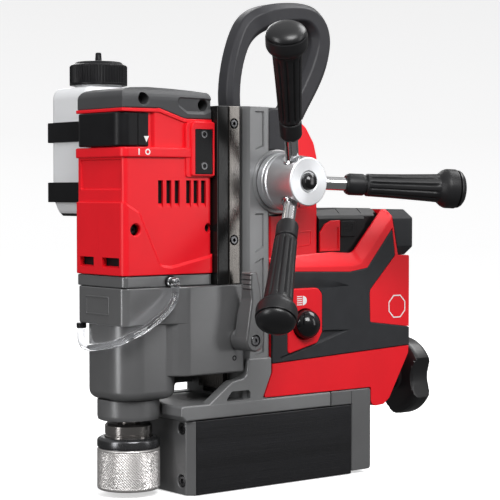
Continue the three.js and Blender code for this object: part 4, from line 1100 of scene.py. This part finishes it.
# ---- battery ----
def build_battery():
    low, high = PACK_LOW, PACK_HIGH
    side = [(42, 120), (80, 120), (101, 145), (101, 176), (106, 200), (104, 206), (72, 206), (42, 204.2)]
    pack = prism(Outline(side, [3, 6, 6, 6, 3, 3, 8, 4], 5), "X", low.x, high.x, 0.8)
    ends = [(high.x, 118), (high.x, 197.8), (high.x - 1.9, 200.6), (high.x - 9, 206.4), (low.x + 9, 206.4),
            (low.x + 1.9, 200.6), (low.x, 197.8), (low.x, 118)]
    pack = common(pack, prism(Outline(ends, [3, 0.3, 0.3, 1.5, 1.5, 0.3, 0.3, 3], 3), "Y", 30, 120))
    for sign in (1, -1):
        x0, x1 = sorted((sign * 24.4, sign * 40))
        pack = cut(pack, block((x0, 63.1, 183.7), (x1, 79, 196.6)))
        # A step runs down behind the latch, and a raised shoulder stands behind that.
        for x, step in ((high.x - 1.3, [(89, 210), (89.6, 190), (103, 174), (112, 174), (112, 210)]),
                        (high.x - 0.6, [(61, 210), (61, 203.4), (88, 203.4), (88, 210)]),
                        (high.x - 4.2, [(104.4, 210), (97, 186), (112, 186), (112, 210)])):
            x0, x1 = sorted((sign * x, sign * 40))
            pack = cut(pack, prism(step, "X", x0, x1))
    for y in (65.6, 88.4):
        pack = cut(pack, block((-40, y, 202), (40, y + 0.8, 210)))
    stand_in("battery_pack", pack, BLACK)
    for hand, sign in SIDES:
        low, high = span(f"battery_latch_{hand}")
        face = high.x if sign > 0 else low.x
        latch = prism(rectangle(63.4, high.y, low.z, 196.3, 1), "X", low.x, high.x, 0.4)
        for k in range(3):
            z = high.z - 6 - 2.2 * k
            latch = cut(latch, block((face - 0.5, 66, z), (face + 0.5, high.y - 3, z + 0.8)))
        stand_in(f"battery_latch_{hand}", latch, BLACK)
        # A red web with a curved rib fills the corner ahead of the latch.
        x0, x1 = sorted((sign * 28, sign * 31.4))
        web = [(42.4, 173), (62.8, 173), (62.8, 197), (53.6, 196.6), (47.6, 194), (42.4, 187.6)]
        web = prism(Outline(web, [0.3, 0.3, 0.6, 3, 3, 0.3]), "X", x0, x1, 0.4)
        field = [(44.4, 174.6), (61.4, 174.6), (61.4, 192), (55, 189.6), (49.4, 184.6), (44.4, 178)]
        rim = sorted((sign * 30.4, sign * 33))
        trim(f"battery_web_{hand}", cut(web, prism(Outline(field, [0.5, 0.5, 0.5, 3, 4, 0.5]), "X", *rim)),
            RED, "battery")


# ---- carry handle ----
def build_carry_handle():
    outer = bezier_path((-27.8, 281), ((-31, 300), (-24, 330), (-15, 345)),
        ((-8, 357), (5, 361), (20, 363.5)), ((35, 365.5), (50, 366), (58, 362)),
        ((72, 354), (76, 342), (73, 328)), ((69, 306), (56, 293), (45, 274)))
    inner = bezier_path((-14.8, 279), ((-18, 300), (-12, 322), (-4, 332)), ((4, 341), (15, 345), (30, 347)),
        ((38, 348), (46, 349.5), (50, 346)), ((55, 342), (55.5, 338), (54, 332)),
        ((50, 316), (38, 298), (24, 277)))
    # The section is flat on its sides, with long chamfers to the outer and inner faces.
    section = Outline([(-1, -0.5), (-0.6, -1), (0.5, -1), (1, -0.55), (1, 0.55), (0.5, 1), (-0.6, 1),
        (-1, 0.5)], 0.32, 4)
    rack_path_y, narrow, wide = -11.4, 9.2, 12.0
    rings = []
    for p, q in zip(outer, inner):
        p, q = Vector(p), Vector(q)
        share = max(0.0, min(1.0, (p.x - rack_path_y) / 16))
        half = narrow + (wide - narrow) * share * share * (3 - 2 * share)
        rings.append([(half * v, *((p + q) / 2 + (p - q) / 2 * u)) for u, v in section.at()])
    loop = loft(rings)
    loop = cut(loop, block((-40, -60, 200), (40, rack_path_y, 282.4)))
    middle = [(-11.2, 247.4), (11.6, 247.4), (11.6, 275.3), (40, 275.3), (36, 283.2), (-11.2, 283.2)]
    middle = prism(Outline(middle, [1.5, 1.5, 0, 1.5, 5, 3]), "X", -wide, wide, 1.4)
    wings = [(-11.2, 247.4), (11.6, 247.4), (11.6, 277.6), (8, 281.5), (-11.2, 281.5)]
    wings = prism(Outline(wings, [1.8, 1.8, 3, 3, 4]), "X", -TOWER_HALF, TOWER_HALF, 1.8, 4)
    whole = cut(
        join(loop, middle, wings),
        block((-40, 11.3, 230), (40, 70, 275)),
        block((-25.4, -30, 200), (25.4, 8.4, 282.3)),
        drill(24.6, 30, 50, HUB_AT, X, 96),
    )
    stand_in("carry_handle", whole, HANDLE_SKIN, sharp=35)


# ---- coolant bottle, bracket and hose ----
BOTTLE_HALF, BOTTLE_TOP, NECK_R = 27, 297.0, 17.5


def bottle_outline(grow, corner=8):
    x, y, half = BOTTLE_CENTRE.x, BOTTLE_CENTRE.y, BOTTLE_HALF + grow
    return rectangle(x - half, x + half, y - half, y + half, corner + grow, 8)


def bottle_solid(grow, low, top, dome):
    levels = [(low, 6.4), (low + 1, 4.8), (low + 3.5, 3.4), (low + 9, 1.2), (low + 13, 0), (top - dome, 0)]
    turns = [math.pi / 14 * k for k in range(1, 8)]
    levels += [(top - dome + dome * math.sin(t), 5.9 * (1 - math.cos(t))) for t in turns]
    return stack(bottle_outline(grow), "Z", levels)


def build_bottle():
    x, y, low = BOTTLE_CENTRE.x, BOTTLE_CENTRE.y, BOTTLE_LOW.z
    axis = (x, y, 0)
    neck = [(0, BOTTLE_TOP - 6), (NECK_R, BOTTLE_TOP - 6), (NECK_R, BOTTLE_TOP + 11.6),
        (NECK_R - 0.4, BOTTLE_TOP + 12), (0, BOTTLE_TOP + 12)]
    body = join(bottle_solid(0, low, BOTTLE_TOP, 9), lathe(neck, axis, Z, 72))
    body = cut(body, bottle_solid(-1.6, low + 1.6, BOTTLE_TOP - 1.6, 8.4),
               drill(NECK_R - 1.6, BOTTLE_TOP - 10, BOTTLE_TOP + 20, axis, Z, 72))
    stand_in("coolant_bottle", body, BOTTLE_SKIN, sharp=40)
    pad = stack(bottle_outline(0.2), "Z", ((low - 1.4, 7.6), (low - 0.9, 6.9), (low + 1.3, 5.0),
        (low + 1.3, 7)))
    trim("bottle_pad", pad, BLACK, "carriage")

    low, high = BOTTLE_CAP_LOW.z, BOTTLE_CAP_HIGH.z
    ribs = 64
    outer = (BOTTLE_CAP_HIGH.x - BOTTLE_CAP_LOW.x) / 2

    def ribbed(radius, height, turn):
        if radius < outer - 0.4 or not low + 1.6 < height < low + 15:
            return radius
        return radius - 0.6 * (1 + math.cos(ribs * turn)) / 2

    skirt = NECK_R + 0.8
    profile = [(skirt, low), (outer - 0.3, low), (outer, low + 0.4), (outer, low + 1.5),
        (outer - 0.02, low + 1.8), (outer - 0.02, low + 14.2), (outer - 0.9, low + 15.2),
        (outer - 2.8, low + 15.9), (outer - 3.6, low + 16.5), (outer - 4.4, low + 17.5),
        (outer - 5.8, low + 17.9), (3.6, low + 18), (3.2, low + 18.4), (2.5, low + 19.2), (2.2, high - 0.6),
        (1.6, high), (0, high), (0, low + 14), (skirt, low + 14)]
    cap = lathe(profile, axis, Z, ribs * 6, ribbed, closed=True)
    stand_in("bottle_cap", cap, BLACK, sharp=40)

    strap = rectangle(x - BOTTLE_HALF - 4.4, x + BOTTLE_HALF + 1.7, y - BOTTLE_HALF - 1.7,
        y + BOTTLE_HALF + 1.7, 7, 6)
    straps = [prism(strap, "Z", z0, z1, 0.5, 2) for z0, z1 in ((211, 226), (256, 271))]
    bracket = block((x + BOTTLE_HALF + 0.4, y - 12, 211), (-MOTOR_HALF - 1.6, y + 12, 271))
    bracket = join(bracket, block((x + BOTTLE_HALF + 0.4, y - 8, 213), (-MOTOR_HALF - 0.4, y + 8, 239)),
        *straps)
    stand_in("bottle_bracket", cut(bracket, stack(bottle_outline(0.3), "Z", ((200, 0), (280, 0)))), BLACK)


HOSE_R = 2.65
HOSE_ROUTE = [(37.6, -99.5, 147), (37.8, -99.7, 145), (38.4, -100.8, 142), (39.2, -104.2, 138.2),
    (39.8, -110, 133.4), (40, -119, 127.4), (39.2, -129.6, 121.6), (36, -138.4, 117.2),
    (28.4, -142.4, 113.4), (18, -143.1, 111), (8, -143.2, 109.2), (-2, -143.1, 107.8),
    (-10.6, -142.7, 107.5), (-18, -141.5, 108.8), (-23.2, -139.7, 111.8), (-26, -138, 116.2),
    (-26.4, -137.4, 119.2)]


def build_hose():
    """The clear hose, from the elbow on the motor's side round the front to its connector."""
    curve = bpy.data.curves.new("coolant_hose_fine", "CURVE")
    curve.dimensions = "3D"
    curve.bevel_depth = HOSE_R * MM
    curve.bevel_resolution = 5
    curve.use_fill_caps = True
    curve.resolution_u = 8
    spline = curve.splines.new("BEZIER")
    points = [Vector(p) * MM for p in HOSE_ROUTE]
    spline.bezier_points.add(len(points) - 1)
    for i, (spot, p) in enumerate(zip(spline.bezier_points, points)):
        before, after = points[max(0, i - 1)], points[min(len(points) - 1, i + 1)]
        along = (after - before).normalized()
        spot.co = p
        spot.handle_left = p - along * (p - before).length / 3
        spot.handle_right = p + along * (after - p).length / 3
    hose = placed("coolant_hose_fine", curve)
    curve.materials.append(HOSE_SKIN)
    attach(hose, "carriage")
    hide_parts("coolant_hose")

    drop = Vector((HOSE_ROUTE[0][0], HOSE_ROUTE[0][1], 0))
    seat = Vector((0, drop.y, 155))
    across = lathe([(0, 31.3), (3.0, 31.3), (3.0, 39.2), (2.2, 40.6), (0, 40.7)], seat, X, 40)
    down = lathe([(0, 147.4), (3.1, 147.4), (3.1, 156.4), (2.2, 157.4), (0, 157.6)], drop, Z, 40)
    stand_in("hose_elbow", join(across, down), HOSE_SKIN, sharp=50)
    ring = [(3.2, 31.32), (4.2, 31.32), (4.5, 31.6), (4.5, 32.6), (4.2, 32.9), (3.2, 32.9)]
    trim("elbow_seat", lathe(ring, seat, X, 48, closed=True), BLACK, "carriage")

    low, high = span("hose_connector")
    profile = [(0, low.z), (3.2, low.z), (3.6, low.z + 0.4), (3.6, high.z), (0, high.z)]
    connector = lathe(profile, ((low.x + high.x) / 2, (low.y + high.y) / 2, 0), Z, 48)
    stand_in("hose_connector", connector, BLACK)


# ---- inner parts that keep their CAD shape ----
def paint_inner_parts():
    paint(CAST, "magnet_core")
    paint(DARK_STEEL, "feed_rack")
    paint(STEEL, "magnet_rotor", "magnet_knob_shaft", "feed_pinion_shaft", "motor_rotor",
        "countershaft_gear", "spindle_gear", "rotor_bearing_lower", "rotor_bearing_upper", "spindle_bearing")
    paint(BRASS, "feed_bush_left", "feed_bush_right")
    paint(COPPER, "stator")
    paint(BOARD, "controller_board")
    paint(BLACK, "battery_terminals")


build_hose()
build_foot()
build_knob()
build_column()
build_slide()
build_gear_housing()
build_motor()
build_top_cap()
build_motor_switch()
build_spindle()
build_lever()
build_feed()
build_rear_housing()
build_bumper()
build_battery()
build_carry_handle()
build_bottle()
paint_inner_parts()
build_stage()

bpy.context.view_layer.update()
